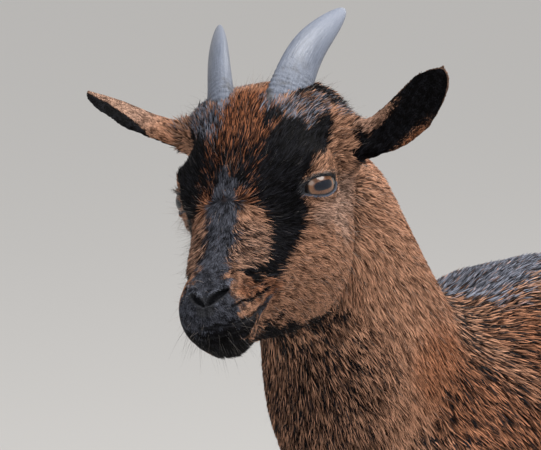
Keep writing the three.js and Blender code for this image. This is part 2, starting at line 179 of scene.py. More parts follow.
right, up, towards = camera_axes(CAMERA_AZIMUTH, CAMERA_ELEVATION)
aim = HEAD_ORIGIN - (right * VIEW_OFFSET[0] + up * VIEW_OFFSET[1]) * MM
camera_data = bpy.data.cameras.new("camera")
camera_data.lens, camera_data.sensor_width = LENS, SENSOR
camera = bpy.data.objects.new("camera", camera_data)
camera.location = aim + towards * CAMERA_DISTANCE
camera.rotation_euler = (math.radians(90 - CAMERA_ELEVATION), 0, math.radians(CAMERA_AZIMUTH))
bpy.context.scene.collection.objects.link(camera)
bpy.context.scene.camera = camera
bpy.context.scene.view_settings.view_transform = "Standard"
print("camera at", np.round(camera.location, 3))

# %% Lamps
chest = HEAD_ORIGIN + np.array([0, 0.15, -0.15])


def soft_lamp(name, offset, size, watts, colour=(1, 1, 1)):
    """A round lamp at an offset from the goat's chest, facing it."""
    data = bpy.data.lights.new(name, "AREA")
    data.shape, data.size, data.energy, data.color = "DISK", size, watts, colour
    lamp = bpy.data.objects.new(name, data)
    lamp.location = chest + np.array(offset)
    lamp.rotation_euler = Vector(-np.array(offset)).to_track_quat("-Z", "Y").to_euler()
    bpy.context.scene.collection.objects.link(lamp)


soft_lamp("lamp_sky", (0.8, -0.1, 1.8), 1.5, 60, (1.0, 0.985, 0.96))
soft_lamp("lamp_front", (0.4, -2.2, 1.1), 1.2, 12)
soft_lamp("lamp_rim", (0.3, 2.1, 1.4), 1.2, 24)

world = bpy.data.worlds.new("studio")
bpy.context.scene.world = world
world.use_nodes = True
sky = world.node_tree.nodes["Background"]
sky.inputs["Color"].default_value = (0.86, 0.9, 1.0, 1)
sky.inputs["Strength"].default_value = 0.38
print("three lamps around", chest.round(3))

# %% [markdown]
# ## Node helpers
#
# Every finish below is a small tree of nodes. The trees could be wired line by line, but a few
# short helpers that add a node, join sockets and take plain numbers keep each recipe readable.

# %% Material helpers
class Recipe:
    """Adds nodes to one tree. A socket may be given a plain value or another node's output."""

    def __init__(self, tree):
        self.tree = tree

    def add(self, kind, *inputs, out=0, **settings):
        node = self.tree.nodes.new("ShaderNode" + kind)
        for key, value in settings.items():
            setattr(node, key, value)
        for socket, value in zip(node.inputs, inputs):
            self.feed(socket, value)
        return node.outputs[out]

    def feed(self, socket, value):
        if value is None:
            return
        if isinstance(value, bpy.types.NodeSocket):
            self.tree.links.new(value, socket)
        else:
            socket.default_value = value

    def math(self, operation, *inputs, clamp=False):
        return self.add("Math", *inputs, operation=operation, use_clamp=clamp)

    def mix(self, factor, first, second, blend="MIX"):
        node = self.tree.nodes.new("ShaderNodeMix")
        node.data_type, node.blend_type = "RGBA", blend
        for name, value in (("Factor", factor), ("A", first), ("B", second)):
            kind = "Float" if name == "Factor" else "Color"
            socket = next(s for s in node.inputs if s.identifier == f"{name}_{kind}")
            self.feed(socket, value)
        return next(s for s in node.outputs if s.identifier == "Result_Color")

    def attribute(self, name, out="Fac"):
        node = self.tree.nodes.new("ShaderNodeAttribute")
        node.attribute_name = name
        return node.outputs[out]

    def noise(self, where, scale, detail=2.0, roughness=0.5):
        node = self.tree.nodes.new("ShaderNodeTexNoise")
        self.feed(node.inputs["Vector"], where)
        for key, value in (("Scale", scale), ("Detail", detail), ("Roughness", roughness)):
            self.feed(node.inputs[key], value)
        return node.outputs["Fac"]

    def place(self, scale=(1, 1, 1)):
        """Object coordinates, scaled by a Mapping node."""
        where = self.add("TexCoord", out="Object")
        node = self.tree.nodes.new("ShaderNodeMapping")
        self.feed(node.inputs["Vector"], where)
        node.inputs["Scale"].default_value = scale
        return node.outputs["Vector"]

    def stretch(self, value, low, high):
        """Maps low..high to 0..1, clamped."""
        node = self.tree.nodes.new("ShaderNodeMapRange")
        for socket, v in zip(node.inputs, (value, low, high)):
            self.feed(socket, v)
        return node.outputs["Result"]


print("recipe steps:", [step for step in vars(Recipe) if not step.startswith("_")])

# %% Materials, bumps and colours
def material(name):
    """A new material, its recipe and its Principled BSDF."""
    made = bpy.data.materials.new(name)
    made.use_nodes = True
    return made, Recipe(made.node_tree), made.node_tree.nodes["Principled BSDF"]


def bump(recipe, shader, height, distance, strength=1.0):
    node = recipe.tree.nodes.new("ShaderNodeBump")
    node.inputs["Strength"].default_value = strength
    node.inputs["Distance"].default_value = distance
    recipe.feed(node.inputs["Height"], height)
    recipe.feed(shader.inputs["Normal"], node.outputs["Normal"])


def rgb(red, green, blue):
    return (red, green, blue, 1.0)


print("red, green, blue and opacity of white:", rgb(1, 1, 1))

# %% Floor and backdrop
# Rays that see the floor or the sky get a calm even tone, and rays that light the goat don't.
FLOOR_SIZE = 30.0  # m
FLOOR_GLOW = 0.6  # how much of the even tone shows on the floor


def seen_directly(recipe):
    """1 for rays that see a surface, 0 for rays that light something from it."""
    rays = recipe.tree.nodes.new("ShaderNodeLightPath").outputs
    seen = recipe.math("ADD", rays["Is Camera Ray"], rays["Is Glossy Ray"])
    return recipe.math("ADD", seen, rays["Is Transmission Ray"], clamp=True)


def blend_shaders(recipe, amount, first, second, output):
    """Feeds a tree's output with a mix of two shaders."""
    blend = recipe.tree.nodes.new("ShaderNodeMixShader")
    for socket, value in zip(blend.inputs, (amount, first, second)):
        recipe.feed(socket, value)
    recipe.feed(recipe.tree.nodes[output].inputs["Surface"], blend.outputs[0])


floor_mesh = bpy.data.meshes.new("floor")
edge = FLOOR_SIZE / 2
floor_corners = [(-edge, -edge, 0), (edge, -edge, 0), (edge, edge, 0), (-edge, edge, 0)]
floor_mesh.from_pydata(floor_corners, [], [(0, 1, 2, 3)])
floor = bpy.data.objects.new("floor", floor_mesh)
bpy.context.scene.collection.objects.link(floor)
floor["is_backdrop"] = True

floor_finish, recipe, shader = material("pale_floor")
shader.inputs["Base Color"].default_value = rgb(0.72, 0.70, 0.67)
shader.inputs["Roughness"].default_value = 0.9
glow = recipe.tree.nodes.new("ShaderNodeEmission")
glow.inputs["Color"].default_value = rgb(0.62, 0.60, 0.57)
glow_amount = recipe.math("MULTIPLY", seen_directly(recipe), FLOOR_GLOW)
blend_shaders(recipe, glow_amount, shader.outputs[0], glow.outputs[0], "Material Output")
floor_mesh.materials.append(floor_finish)

recipe = Recipe(world.node_tree)
backdrop = world.node_tree.nodes.new("ShaderNodeBackground")
backdrop.inputs["Color"].default_value = rgb(0.475, 0.465, 0.445)
blend_shaders(recipe, seen_directly(recipe), sky.outputs[0], backdrop.outputs[0], "World Output")
print("floor", FLOOR_SIZE, "m wide")

# %% [markdown]
# ## One skin over the flesh
#
# The solids of head, jaw, neck, trunk, tail, ears and legs are cut apart with thin gaps, and a
# real skin has none. A Boolean union would keep their facets and creases. So copies are grown a
# little until they overlap, and a voxel remesh melts them into one closed surface. Its facets
# are then relaxed away: a lot on the broad trunk, hardly at all on the thin legs and ears, where
# relaxing would eat the form.

# %% Flesh solids as arrays
LEGS = [f"leg_{end}_{side}" for end in ("fore", "hind") for side in ("left", "right")]
FLESH = ["head", "lower_jaw", "neck", "trunk", "tail", "ear_left", "ear_right", *LEGS]
GROWN = 0.8  # mm that each solid grows so that neighbours overlap
EARS_GROWN = 3.0  # the ears are thin, and grow more to survive the voxels


def read(items, name, columns=3, kind=float):
    """One property of a mesh's points, edges, faces or corners as rows of numbers."""
    values = np.empty(len(items) * columns, kind)
    items.foreach_get(name, values)
    return values.reshape(-1, columns)


def solid_arrays(node, grow=0.0):
    """Points and triangles of a CAD node, its loose triangles merged, grown by some mm."""
    mesh = frame["nodes"][node].data
    mesh.calc_loop_triangles()
    corners = read(mesh.loop_triangles, "vertices", kind=np.int64)
    loose = read(mesh.vertices, "co").round(6)
    points, index = np.unique(loose, axis=0, return_inverse=True)
    triangles = index.reshape(-1)[corners]
    a, b, c = points[triangles].transpose(1, 0, 2)
    facing = np.cross(b - a, c - a)
    normals = np.zeros_like(points)
    for k in range(3):
        np.add.at(normals, triangles[:, k], facing)
    return points + unit(normals) * grow * MM, triangles


def joined(parts):
    """Several (points, triangles) as one pair, with the part number of each triangle."""
    points, triangles, part, count = [], [], [], 0
    for number, (p, t) in enumerate(parts):
        points.append(p)
        triangles.append(t + count)
        part.append(np.full(len(t), number))
        count += len(p)
    return np.concatenate(points), np.concatenate(triangles), np.concatenate(part)


flesh_points, flesh_triangles, flesh_part = joined([solid_arrays(n) for n in FLESH])
nearest_flesh = BVHTree.FromPolygons(flesh_points.tolist(), flesh_triangles.tolist())
print("flesh triangles:", len(flesh_triangles))

# %% Melt the flesh into one surface
VOXEL = 4.1  # mm


def new_piece(name, mesh):
    piece = bpy.data.objects.new(name, mesh)
    bpy.context.scene.collection.objects.link(piece)
    return piece


def mesh_from(name, points, faces):
    """A mesh from an array of points and a list of faces, which may have any number of corners."""
    mesh = bpy.data.meshes.new(name)
    mesh.from_pydata(points.tolist(), [], faces)
    return mesh


def finished_mesh(piece, name):
    """The piece's mesh with its modifiers applied. The piece itself is removed."""
    evaluated = piece.evaluated_get(bpy.context.evaluated_depsgraph_get())
    mesh = bpy.data.meshes.new_from_object(evaluated)
    mesh.name = name
    bpy.data.objects.remove(piece)
    return mesh


def melted(parts, voxel):
    points, triangles, _ = joined(parts)
    piece = new_piece("melting", mesh_from("melting", points, triangles.tolist()))
    voxels = piece.modifiers.new("voxels", "REMESH")
    voxels.mode, voxels.voxel_size = "VOXEL", voxel * MM
    return finished_mesh(piece, "skin")


eyes_to_fill = [solid_arrays(f"eye_{side}", 1.5) for side in ("left", "right")]
flesh_grown = [solid_arrays(n, EARS_GROWN if "ear" in n else GROWN) for n in FLESH]
skin_mesh = melted(flesh_grown + eyes_to_fill, VOXEL)
print("melted skin:", len(skin_mesh.vertices), "points,", len(skin_mesh.polygons), "faces")

# %% Relax the facets
def mesh_points(mesh, what="co"):
    return read(mesh.vertices, what)


def move_points(mesh, points):
    mesh.vertices.foreach_set("co", np.asarray(points).ravel())
    mesh.update()


def mesh_edges(mesh):
    return read(mesh.edges, "vertices", 2, np.int32)


def relax(values, edges, share, rounds):
    """Moves each value towards the middle of its neighbours by a share, round after round."""
    a, b = edges.T
    count = np.bincount(edges.ravel(), minlength=len(values))[:, None]
    for _ in range(rounds):
        columns = [
            np.bincount(a, column[b], len(values)) + np.bincount(b, column[a], len(values))
            for column in values.T
        ]
        values = values + share * (np.stack(columns, 1) / count - values)
    return values


def parts_of(points):
    """The number in FLESH of the solid nearest to each point."""
    return np.array([flesh_part[nearest_flesh.find_nearest(p)[2]] for p in points.tolist()])


def by_part(part, **values):
    """One value for each point from the name of its part. The legs share one, as do the ears."""
    table = [values.get(n, values.get(n.split("_")[0])) for n in FLESH]
    return np.array(table, float)[part][:, None]


points = mesh_points(skin_mesh)
edges = mesh_edges(skin_mesh)
softness = by_part(
    parts_of(points), head=0.12, lower_jaw=0.12, neck=0.6, trunk=0.9, tail=0.2, ear=0.13, leg=0.1
)
# The legs grow softer towards the trunk.
softness += 0.5 * (softness < 0.11) * fade(0.17, 0.27, points[:, 2:]) * (from_head(points)[:, 1:2] > 150)
softness = relax(softness, edges, 0.5, 12)
move_points(skin_mesh, relax(points, edges, np.minimum(softness, 0.9), 28))
print("relaxed")

# %% Finer faces on the head
def split_faces(mesh, chosen):
    """Splits each chosen face into four."""
    work = bmesh.new()
    work.from_mesh(mesh)
    work.faces.ensure_lookup_table()
    around = {e for i in np.flatnonzero(chosen).tolist() for e in work.faces[i].edges}
    bmesh.ops.subdivide_edges(work, edges=list(around), cuts=1, use_grid_fill=True)
    work.to_mesh(mesh)
    work.free()


def face_middles(mesh):
    return read(mesh.polygons, "center")


def mirrored(points):
    """Points folded onto the goat's left side, where x is above zero."""
    return np.column_stack([np.abs(points[:, 0]), points[:, 1], points[:, 2]])


def reach(points, place):
    """How far each point lies from a place, in the points' own unit."""
    return np.linalg.norm(points - np.asarray(place, float), axis=1)


FACE_BACK, FACE_LOW = 62, -95  # mm in the head's frame, where the finer faces end
middles = from_head(face_middles(skin_mesh))
face = (middles[:, 1] < FACE_BACK) & (middles[:, 2] > FACE_LOW) & (reach(middles, (0, 0, 0)) < 150)
ear = (np.abs(middles[:, 0]) > 66) & (middles[:, 2] > -25) & (reach(middles, (0, 0, 0)) < 190)
split_faces(skin_mesh, face | ear)
middles = mirrored(from_head(face_middles(skin_mesh)))
near_muzzle = (middles[:, 1] < -58) & (middles[:, 2] > -62)
split_faces(skin_mesh, near_muzzle | (reach(middles, EYE_PLACE) < 25))
middles = mirrored(from_head(face_middles(skin_mesh)))
near_nostril = (middles[:, 1] < -78) & (middles[:, 2] > -50) & (middles[:, 0] < 24)
split_faces(skin_mesh, near_nostril | (reach(middles, EYE_PLACE) < 18.5))
edges = mesh_edges(skin_mesh)
points = mesh_points(skin_mesh)
fine = (from_head(points)[:, 1:2] < FACE_BACK) & (from_head(points)[:, 2:] > FACE_LOW)
move_points(skin_mesh, relax(points, edges, 0.5 * fine, 4))
print("skin with a finer head:", len(skin_mesh.vertices), "points")

# %% [markdown]
# ## Under the coat
#
# The solids reach to the tips of the hair, and a real skin lies below that by the coat's depth.
# One even shrink would thin the ears as much as the trunk, so each point sinks along its normal
# by a depth of its own: most on the trunk and neck, least on the nose, lids, ears and lower legs.

# %% Sink the skin by the coat's depth
def coat_depth(points, edges):
    """How far the grown surface sinks: the coat's depth and what the solids were grown by."""
    part = parts_of(points)
    depth = by_part(
        part, head=3.0, lower_jaw=3.0, neck=6.8, trunk=7.3, tail=5.8, ear=2.9, leg=2.6
    )
    high_leg = (part >= FLESH.index(LEGS[0]))[:, None] * fade(0.16, 0.26, points[:, 2:])
    depth += 4.2 * high_leg
    head = mirrored(from_head(points))
    nose = fade(58, 16, reach(head, (2, -98, -38)))
    eye = fade(26, 15, reach(head, EYE_PLACE))
    depth = relax(depth, edges, 0.6, 25)
    return depth * (1 - 0.8 * np.maximum(nose, eye)[:, None])


points = mesh_points(skin_mesh)
normals = mesh_points(skin_mesh, "normal")
depth = coat_depth(points, edges)
points = points - normals * depth * MM
ears = by_part(parts_of(points), head=0, lower_jaw=0, neck=0, trunk=0, tail=0, ear=1, leg=0)
# Each round smooths the ears and then swells them back, so that they keep their size.
for _ in range(14):
    points = relax(relax(points, edges, 0.5 * ears, 1), edges, -0.36 * ears, 1)
ear_tips = ears * fade(100, 110, np.abs(from_head(points)[:, :1]))
points = relax(points, edges, 0.6 * ear_tips, 10)
move_points(skin_mesh, points)
print("skin sinks by", depth.min().round(2), "to", depth.max().round(2), "mm")

# %% [markdown]
# ## The face
#
# A remesh knows nothing of lids or lips, so the face is carved by moving points. A sculptor would
# push them by hand, but a few curves can be read and changed. Around each eye a point's place is
# read on a chart wrapped over the eyeball. Two curves on that chart are the lids: points between
# them sink below the eyeball's surface, and points just outside them are laid on it at the
# thickness of a lid. Folds and lips are paths near which the skin sinks or swells.

# %% Chart of the eye
EYE_AXIS = unit([0.8, -0.58, 0.14])
EYE_SLIT = unit([0.593, 0.803, -0.062])  # from the tear corner to the outer corner
EYE_RISE = np.cross(EYE_AXIS, EYE_SLIT)
CORNEA_BULGE, CORNEA_SPREAD = 1.3, 0.85  # mm, radians

# Both lids start at the tear corner and end at the outer corner: mm along the slit and across it.
UPPER_LID = [(-15.7, -1.5), (-12.4, 2.0), (-6.9, 4.8), (-2.2, 5.3), (4.5, 4.4), (11.5, 2.9), (16, -0.2)]
LOWER_LID = [(-15.7, -1.5), (-13, -1.9), (-10.6, -2.5), (-5.8, -4.0), (-0.8, -4.9), (3.9, -4.9),
             (9.3, -3.7), (16, -0.2)]


def smooth_path(path, steps=8):
    """A Catmull-Rom curve through the path's points."""
    path = np.array(path, float)
    path = np.vstack([2 * path[0] - path[1], path, 2 * path[-1] - path[-2]])
    t = np.linspace(0, 1, steps, endpoint=False)[:, None]
    pieces = [
        0.5 * (2 * b + (c - a) * t + (2 * a - 5 * b + 4 * c - d) * t**2 + (3 * b - a - 3 * c + d) * t**3)
        for a, b, c, d in zip(path, path[1:], path[2:], path[3:])
    ]
    return np.vstack([*pieces, path[-2:-1]])


def eye_chart(points, side):
    """Distance from the eyeball's middle, angle off its axis, and the place along and across the slit."""
    local = from_head(points) * [side, 1, 1] - EYE_PLACE
    distance = np.linalg.norm(local, axis=1)
    angle = np.arccos(np.clip(local @ EYE_AXIS / distance, -1, 1))
    place = unit(np.column_stack([local @ EYE_SLIT, local @ EYE_RISE])) * (EYE_RADIUS * angle)[:, None]
    return distance, angle, place[:, 0], place[:, 1]


def ball_radius(angle):
    return EYE_RADIUS + CORNEA_BULGE * np.clip(1 - (angle / CORNEA_SPREAD) ** 2, 0, 1) ** 2


def beyond_lids(along, across):
    """How far a place on the chart lies outside the opening of the lids; negative inside it."""
    upper, lower = (smooth_path(lid) for lid in (UPPER_LID, LOWER_LID))
    over = across - np.interp(along, upper[:, 0], upper[:, 1])
    under = np.interp(along, lower[:, 0], lower[:, 1]) - across
    start, end = UPPER_LID[0][0], UPPER_LID[-1][0]
    return np.maximum.reduce([over, under, start - along, along - end]), over, under


print("lids open about", round(UPPER_LID[3][1] - LOWER_LID[4][1], 1), "mm")

# %% Carve the lids
def carve_lids(points, side):
    distance, angle, along, across = eye_chart(points, side)
    outside, over, under = beyond_lids(along, across)
    ball = ball_radius(angle)
    lid = ball + 0.45 + 1.1 * fade(0, 1.8, outside)
    lid -= 0.7 * np.exp(-(((over - 3.4) / 0.8) ** 2)) * fade(17, 12, np.abs(along))
    lid -= 0.5 * np.exp(-(((under - 3.8) / 0.9) ** 2)) * fade(15, 10, np.abs(along))
    target = ball - 3 + (lid - ball + 3) * fade(-0.45, 0.1, outside)
    weight = fade(9, 2.5, outside) * fade(1.7, 1.3, angle) * fade(25, 19, distance)
    moved = distance + weight * (target - distance)
    middle = on_head(EYE_PLACE * [side, 1, 1])
    return middle + (points - middle) * (moved / distance)[:, None]


points = mesh_points(skin_mesh)
for side in (1, -1):
    points = carve_lids(points, side)
move_points(skin_mesh, points)
print("lids carved")

# %% Folds, lips and nostrils
NOSTRIL = [(11.8, -88.9, -29, 0.8), (8.4, -91, -31, 1.7), (5.4, -94.5, -32, 1.9), (3, -97.5, -33, 1.3),
           (1.2, -99, -34.2, 0.6)]
# paths of painted highlight along the edges of the nostrils
NOSE_RIM_HIGHLIGHTS = [[(2, -98, -29.5, 1.4), (6, -93, -28, 2), (10, -88.5, -26.2, 2), (13, -83.5, -25.2, 1.6)],
             [(2, -99.5, -36, 0.8), (6.5, -96.5, -35.2, 1), (11, -91, -33, 0.9)]]
FOLDS = {  # path of (x, y, z, width) and how deep
    "mouth": ([(0, -102, -47, 0.9), (8, -101, -47.6, 0.9), (14, -94, -49.2, 1), (18, -82, -50.6, 1),
               (20.2, -70.8, -51.5, 1.1), (21.5, -57.4, -51.3, 0.9)], 2.2),
    "above the lip": ([(15, -93, -37, 0.9), (18.5, -82, -39, 1.2), (21.4, -73, -40, 1.3),
                       (27.4, -56, -39, 1.3), (30, -50, -34, 1.2)], 1.5),
    "wrinkle": ([(19, -78, -31, 1), (24, -66, -33.5, 1.2), (29, -54, -30, 1.2)], 1.0),
    "lip patch": ([(15, -93, -44.5, 2), (20, -80, -45.8, 2.2), (23, -64, -46, 2)], -0.8),
    "cheek": ([(17, -73, -25, 2), (22, -63, -27.5, 2.4), (26, -58, -29, 2.6), (29.5, -52, -30, 3),
               (31.7, -40, -29.5, 3)], 1.3),
    "under the lip": ([(0, -99, -55, 2), (12, -94, -55, 2), (19, -80, -56, 2)], 0.8),
    "tear line": ([(34, -16, -4, 2.4), (32, -28, -12, 3)], 0.7),
    "upper lip": ([(5, -101, -41, 4), (15, -93, -41, 4)], -0.9),
    "lower lip": ([(0, -101, -51.5, 2.4), (12, -96, -52.5, 2.4), (20, -78, -54.5, 2.6)], -1.0),
    "nostril wing": ([(3.5, -97, -29.5, 2.2), (7, -92, -28, 3), (11, -87.5, -26, 3),
                      (14, -82, -25, 2.6)], -1.7),
    "brow": ([(40, -2, 17, 6), (44, 8, 15, 6), (43, 20, 13, 6)], -0.8),
}
PHILTRUM = [(0, -99.4, -34.6, 0.8), (0, -101, -39, 0.7), (0, -102, -44, 0.7)]
print("folds:", ", ".join(FOLDS))

# %% Measures along a path
def path_distance(points, path):
    """Distance from a path of (x, y, z, width), and the path's width at the nearest place."""
    path = np.array(path, float)
    best, width = np.full(len(points), 1e9), np.ones(len(points))
    for a, b in zip(path, path[1:]):
        along = b[:3] - a[:3]
        t = np.clip((points - a[:3]) @ along / max(along @ along, 1e-9), 0, 1)
        gap = np.linalg.norm(points - a[:3] - t[:, None] * along, axis=1)
        nearer = gap < best
        best = np.where(nearer, gap, best)
        width = np.where(nearer, a[3] + t * (b[3] - a[3]), width)
    return best, width


def nose_folded(head):
    """Head-frame points folded left about the nose, which sits a little off the middle."""
    shift = NOSE_SHIFT * fade(-50, -90, head[:, 1])
    return mirrored(head - shift[:, None] * [1, 0, 0])


def surface_of(mesh):
    """A tree that finds the nearest place on a mesh."""
    faces = [list(face.vertices) for face in mesh.polygons]
    return BVHTree.FromPolygons(mesh_points(mesh).tolist(), faces)


def laid(path, surface):
    """A smooth path in the folded head frame, moved onto the nearest places of a surface."""
    path = smooth_path(path, 4)
    shift = NOSE_SHIFT * fade(-50, -90, path[:, 1])
    places = on_head(path[:, :3] + shift[:, None] * [1, 0, 0])
    found = [surface.find_nearest(place)[0] for place in places.tolist()]
    return np.column_stack([nose_folded(from_head(found)), path[:, 3]])


def near(points, path):
    """1 on a path and falling away beside it."""
    gap, width = path_distance(points, path)
    return np.exp(-((gap / width) ** 2))


print("the muzzle is carried", NOSE_SHIFT, "mm to the left")

# %% Carve the folds
points, normals = mesh_points(skin_mesh), mesh_points(skin_mesh, "normal")
folded = nose_folded(from_head(points))
surface = surface_of(skin_mesh)
shift = sum(-depth * near(folded, laid(path, surface)) for path, depth in FOLDS.values())
shift -= 0.8 * near(folded, laid(PHILTRUM, surface))
gap, width = path_distance(folded, laid(NOSTRIL, surface))
nostril_gap = gap / width
mouth_gap = path_distance(folded, laid(FOLDS["mouth"][0], surface))[0]
shift += 0.7 * np.exp(-(((gap - 2.4 * width) / (1.1 * width)) ** 2))
points += normals * (shift * MM)[:, None]
inward = HEAD @ unit([0, 0.95, -0.3])
points += (6.0 * MM) * fade(1.3, 0.5, nostril_gap)[:, None] * inward
move_points(skin_mesh, points)
surface = surface_of(skin_mesh)
print("folds carved, deepest", shift.min().round(2), "mm")

# %% Measures over the skin
skin_points, skin_normals = mesh_points(skin_mesh), mesh_points(skin_mesh, "normal")
skin_part = parts_of(skin_points)
skin_head = from_head(skin_points)
skin_folded = nose_folded(skin_head)


def on_parts(*names):
    """1 on the parts named, by whole name or by its first word, and 0 elsewhere."""
    wanted = [i for i, n in enumerate(FLESH) if n.split("_")[0] in names or n in names]
    return np.isin(skin_part, wanted).astype(float)


NO_EYE = 99.0  # mm, kept where no eye is near
eye_gap, over_lid, under_lid, along_lid = (np.full(len(skin_points), NO_EYE) for _ in range(4))
for side in (1, -1):
    distance, angle, along, across = eye_chart(skin_points, side)
    outside, over, under = beyond_lids(along, across)
    here = (distance < 22) & (outside < eye_gap)
    for kept, found in ((eye_gap, outside), (over_lid, over), (under_lid, under), (along_lid, along)):
        kept[here] = found[here]
muzzle_gap = reach(skin_folded, (0, -98, -38))
on_head_part = on_parts("head", "lower")
print("points near the eyes:", int((eye_gap < 2).sum()))
print("points near the nostrils:", int((nostril_gap < 2).sum()))

# %% [markdown]
# ## Markings
#
# The goat is tan with a black stripe through each eye, a slate bridge and muzzle, a ginger
# forehead, a dark line under the jaw and an eel stripe along the back. The line under the jaw is
# partly painted shadow. Other strokes paint shade into creases and hollows, on the lower neck and
# the trunk's sides, and highlights and sheen on the nose and back. A painted image could show
# them, but skin and hairs would then need one unwrap. Here most markings are soft strokes along
# paths, and skin and coat ask the same function for them. The numbers it gives are amounts from
# 0 to 1, and one node group turns them into colour.

# %% Strokes on the head
HEAD_STROKES = {  # folded left in the head's frame: x, y, z and half width in mm
    "black": [
        [(31, 29, 45, 8), (40, 24, 40, 14), (37, 13, 33, 18), (33, -6, 26, 18), (31, -15, 16, 17),
         (31, -20, 6, 16), (33, -22, -4, 15), (33, -27, -13, 13), (31, -35, -21, 10.5),
         (30, -43, -27, 8.5), (27, -54, -30, 5.5), (20, -66, -27, 3.5), (14, -72, -22, 2)],
        [(36, 42, 38, 6), (44, 50, 30, 7)],
        [(37, 26, 38, 12), (40, 23, 27, 13), (41, 13, 19, 9)],
        [(18, 10, 45, 6), (28, 16, 43, 8), (36, 26, 41, 8)],
        [(36, 44, 46, 8), (44, 50, 40, 6), (50, 55, 29, 5)],
        [(0, -99, -53, 5), (13, -95, -54, 6), (18, -80, -55, 5), (21, -66, -54, 3)],
        # painted shade in and round the nostril's slit
        [(1.2, -99, -34.2, 1.2), (5.4, -94.5, -31.9, 2.2), (11.8, -88.9, -29, 1.5)],
        [(0, 60, 52, 10), (0, 90, 30, 14)],
        # partly dark hair, partly painted shade under the ear's root
        [(60, 50, 17, 9), (63, 46, 5, 11), (56, 46, -6, 9)],
        # painted shade in the crease of the cheek
        [(16, -74, -25, 2.5), (22, -66, -28, 3), (28, -56, -30, 3.5)],
    ],
    "jaw": [
        # partly dark hair, partly painted shadow under the jaw
        [(0, -92, -66, 15), (6, -78, -70, 11), (10, -58, -74, 10), (14, -40, -77, 13), (11, -10, -92, 16),
         (14, 8, -96, 16), (26, 20, -95, 13), (40, 36, -92, 9), (50, 52, -84, 5)],
    ],
    "slate": [
        [(3, -28, 21, 7), (4, -40, 8.5, 8), (3.5, -51, -1.3, 8.5), (3, -61, -9, 8.5), (1.5, -71, -16, 9),
         (0, -80, -20, 11), (0, -90, -25, 14.5), (0, -98, -36, 18.5), (0, -95, -50, 17)],
        [(21, -72, -52, 4.5), (23, -62, -51, 5), (25, -54, -48, 4)],
    ],
    "grey": [
        # painted highlight on the wing of the nostril
        [(8, -93, -27.5, 2.5), (14, -86, -25, 2.5)],
        [(16, 24, 48, 8), (26, 20, 46, 9), (36, 24, 42, 9), (38, 42, 37, 6), (46, 50, 29, 6)],
    ],
    "ginger": [
        [(0, 18, 50, 18), (6, 4, 45, 22), (10, -10, 34, 18), (12, -22, 23, 12), (16, -32, 12, 8)],
        [(20, -78, -34, 6), (24, -68, -37, 7), (30, -55, -42, 9), (30, -48, -55, 9)],
    ],
    "light": [
        [(47, 0, -17, 10), (51, 12, -21, 14), (51, 26, -26, 16), (48, 40, -18, 14)],
    ],
    "tan": [
        [(46, 2, 13, 3), (49, 13, 11, 4.5), (51, 28, 14, 7), (50, 37, 22, 7), (50, 41, 30, 6)],
        [(15.5, -92, -44.6, 1.4), (20, -80, -45.6, 2.6), (23, -66, -46, 3), (26, -56, -44, 3)],
    ],
}
# paths of painted shade along the mouth and above the lip
CREASE_SHADE_PATHS = [laid(FOLDS[name][0], surface) for name in ("mouth", "above the lip")]
print("strokes on the head:", {name: len(paths) for name, paths in HEAD_STROKES.items()})

# %% Strokes on the body
BODY_STROKES = {  # folded left in the row's frame
    "black": [
        [(0, -74, 462, 16), (0, -45, 446, 40), (0, -10, 446, 30), (0, 60, 446, 20), (0, 160, 446, 18),
         (0, 240, 430, 16), (0, 300, 400, 14)],
        [(60, -92, 410, 9), (68, -100, 392, 9), (78, -112, 372, 6)],
        [(0, -235, 380, 16), (0, -235, 330, 26), (0, -200, 280, 30), (0, -120, 245, 34), (0, 60, 228, 34),
         (0, 180, 250, 26)],
    ],
    "grey": [
        # painted sheen over the eel stripe along the back
        [(0, -74, 462, 16), (0, -45, 446, 40), (0, -10, 446, 28), (0, 160, 446, 14), (0, 240, 430, 12)],
    ],
    "light": [
        [(36, -52, 440, 8), (33, -14, 444, 8), (27, 60, 446, 7), (25, 160, 444, 7), (23, 240, 424, 7)],
        [(50, 190, 262, 18), (40, 250, 270, 12)],
    ],
    "ginger": [[(60, -140, 400, 30), (90, -90, 340, 40)], [(60, -70, 430, 26), (95, -20, 390, 50)],
               [(90, 200, 370, 50)]],
}
MASKS = ["ginger", "light", "slate", "grey", "black"]
print("strokes on the body:", {name: len(paths) for name, paths in BODY_STROKES.items()})

# %% Waves and strokes
WAVES = 7  # that add up to one smooth random value
CYCLE = 6.283  # radians in a wave


def wavy(points, length, seed):
    """Smooth random values from 0 to 1 that change over about the given length in metres."""
    pick = np.random.default_rng(seed)
    ways = unit(pick.normal(size=(WAVES, 3))) * (CYCLE / length) * pick.uniform(0.7, 1.5, (WAVES, 1))
    value = np.sin(points @ ways.T + pick.uniform(0, CYCLE, WAVES)).sum(1)
    return np.clip(0.5 + value / (1.6 * WAVES**0.5), 0, 1)


def strokes(points, paths, edge=0.45):
    """How much of any path's stroke covers each point."""
    cover = np.zeros(len(points))
    for path in paths:
        gap, width = path_distance(points, path)
        cover = np.maximum(cover, fade(1 + edge, 1 - edge, gap / width))
    return cover


print("waves in a smooth random value:", WAVES)

